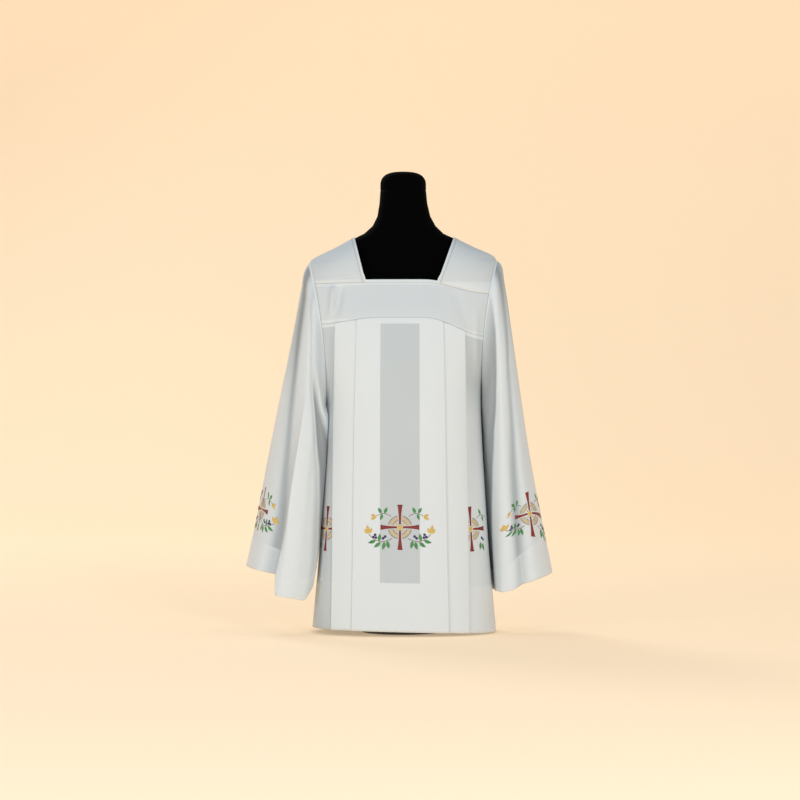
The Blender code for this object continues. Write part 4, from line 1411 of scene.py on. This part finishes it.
def form_torso():
    """The form's torso and neck, lofted smoothly through its sections and closed at both ends."""
    sections = form_sections()
    rows = []
    for below, above in zip(sections[:-1], sections[1:]):
        steps = max(2, int((above[0] - below[0]) / FORM_STEP))
        rows += [between(below, above, share) for share in np.arange(steps) / steps]
    piece = closed_shell("velvet_torso", np.array([form_ring(*row) for row in [*rows, sections[-1]]]))
    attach(piece, "root")
    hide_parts("form_torso")


def form_cap():
    """The neck's cap, a low dome whose side rounds into a flat top, turned about its own axis."""
    low = FORM_NECKS[-1][0] + GAP
    side = between(low, CAP_TOP, CAP_SIDE)
    turn = np.radians(np.linspace(90, 0, 30))[1:]
    rim = [CAP_RADIUS, CAP_RADIUS * 0.97]
    radius = np.concatenate([[0.0004], CAP_RADIUS * np.cos(turn) ** CAP_SQUARE, rim])
    dome = between(side, CAP_TOP, np.sin(turn) ** CAP_CROWN)
    height = np.concatenate([[CAP_TOP], dome, [low + 0.002, low]])
    angle = np.radians(np.arange(0, 360, 2.5))
    x = FORM_NECK + radius[:, None] * np.cos(angle)
    y = radius[:, None] * np.sin(angle)
    piece = closed_shell("velvet_cap", np.stack([x, y, height[:, None] + 0 * x], -1)[:, ::-1])
    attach(piece, "root")
    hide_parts("form_cap")


def backdrop():
    """A floor that sweeps up into a wall behind, as one curved sheet."""
    near, back, top, radius = -9.0, 6.5, 7.0, 2.5
    turn = np.radians(np.linspace(-90, 0, 24))
    y = np.concatenate([[near], back - radius + radius * np.cos(turn), [back]])
    z = np.concatenate([[0], radius + radius * np.sin(turn), [top]])
    x = np.linspace(-9, 9, 9)
    grid = np.stack([x[None, :] + 0 * y[:, None], y[:, None] + 0 * x, z[:, None] + 0 * x], -1)
    floor = grid_mesh("floor", grid, backdrop_finish())


# Square lights: place, width, power in watts and colour. All face the garment's middle
LIGHTS = {
    "key": ((1.8, -5.4, 1.9), 1.2, 92, (0.80, 0.92, 1.0)),
    "fill": ((-3.4, -4.2, 1.4), 1.6, 56, (0.79, 0.90, 1.0)),
    "back": ((-2.4, 4.2, 4.2), 1.8, 72, (0.80, 0.92, 1.0)),
}
LIT = (0, 0, 0.5)
SURROUND = dict(Color=(0.92, 0.955, 1.0, 1), Strength=0.42)


def studio():
    """Soft lights in front to both sides and one above behind, and an even pale surround."""
    for name, (at, width, power, colour) in LIGHTS.items():
        light = bpy.data.lights.new(name, "AREA")
        light.shape = "RECTANGLE"
        light.size = light.size_y = width
        light.energy = power
        light.color = colour
        lamp = put_in_scene(name, light)
        lamp.location = at
        lamp.rotation_euler = Vector(np.array(LIT) - np.array(at)).to_track_quat("-Z", "Y").to_euler()
    world = bpy.data.worlds.new("surround")
    world.use_nodes = True
    for socket, value in SURROUND.items():
        world.node_tree.nodes["Background"].inputs[socket].default_value = value
    bpy.context.scene.world = world


def camera():
    """A level camera, square to the front."""
    lens = bpy.data.cameras.new("camera")
    lens.sensor_width = SENSOR
    lens.lens = SENSOR * VIEW_DISTANCE / VIEW_WIDTH
    eye = put_in_scene("camera", lens)
    eye.location = CAMERA_AT
    eye.rotation_euler = (math.pi / 2, 0, 0)
    bpy.context.scene.camera = eye


bpy.context.scene.view_settings.view_transform = "Standard"
CLOTH = cloth_finish()
VELVET = velvet_finish()
STEEL = steel_finish()
SILKS = {name: thread_finish(name) for name in THREADS}
SEWN_ON = {
    face: [
        embroidery(f"embroidery_{face}", on_panel_middle(face, PLEAT_MIDDLE, 0.2480)),
        embroidery(f"embroidery_{face}_left", on_panel_side(face, -1, -0.1725, 0.2420), LEFT_SPRIG[face]),
        embroidery(f"embroidery_{face}_right", on_panel_side(face, 1, 0.1570, 0.2420), RIGHT_SPRIG[face]),
    ]
    for face in ("front", "back")
}
SEWN_ON["left"] = [embroidery("embroidery_sleeve_left", on_sleeve(-1, 0.828, 8))]
SEWN_ON["right"] = [embroidery("embroidery_sleeve_right", on_sleeve(1, 0.835, 62))]
for face in ("front", "back"):
    pleated_panel(face)
    yoke_strip(face)
shoulder_piece(-1, "left")
shoulder_piece(1, "right")
neck_strip()
sleeve(-1, "left")
sleeve(1, "right")
form_torso()
form_cap()
for node in ("form_pole", "form_base"):
    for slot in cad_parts[node].material_slots:
        slot.material = STEEL
backdrop()
studio()
camera()
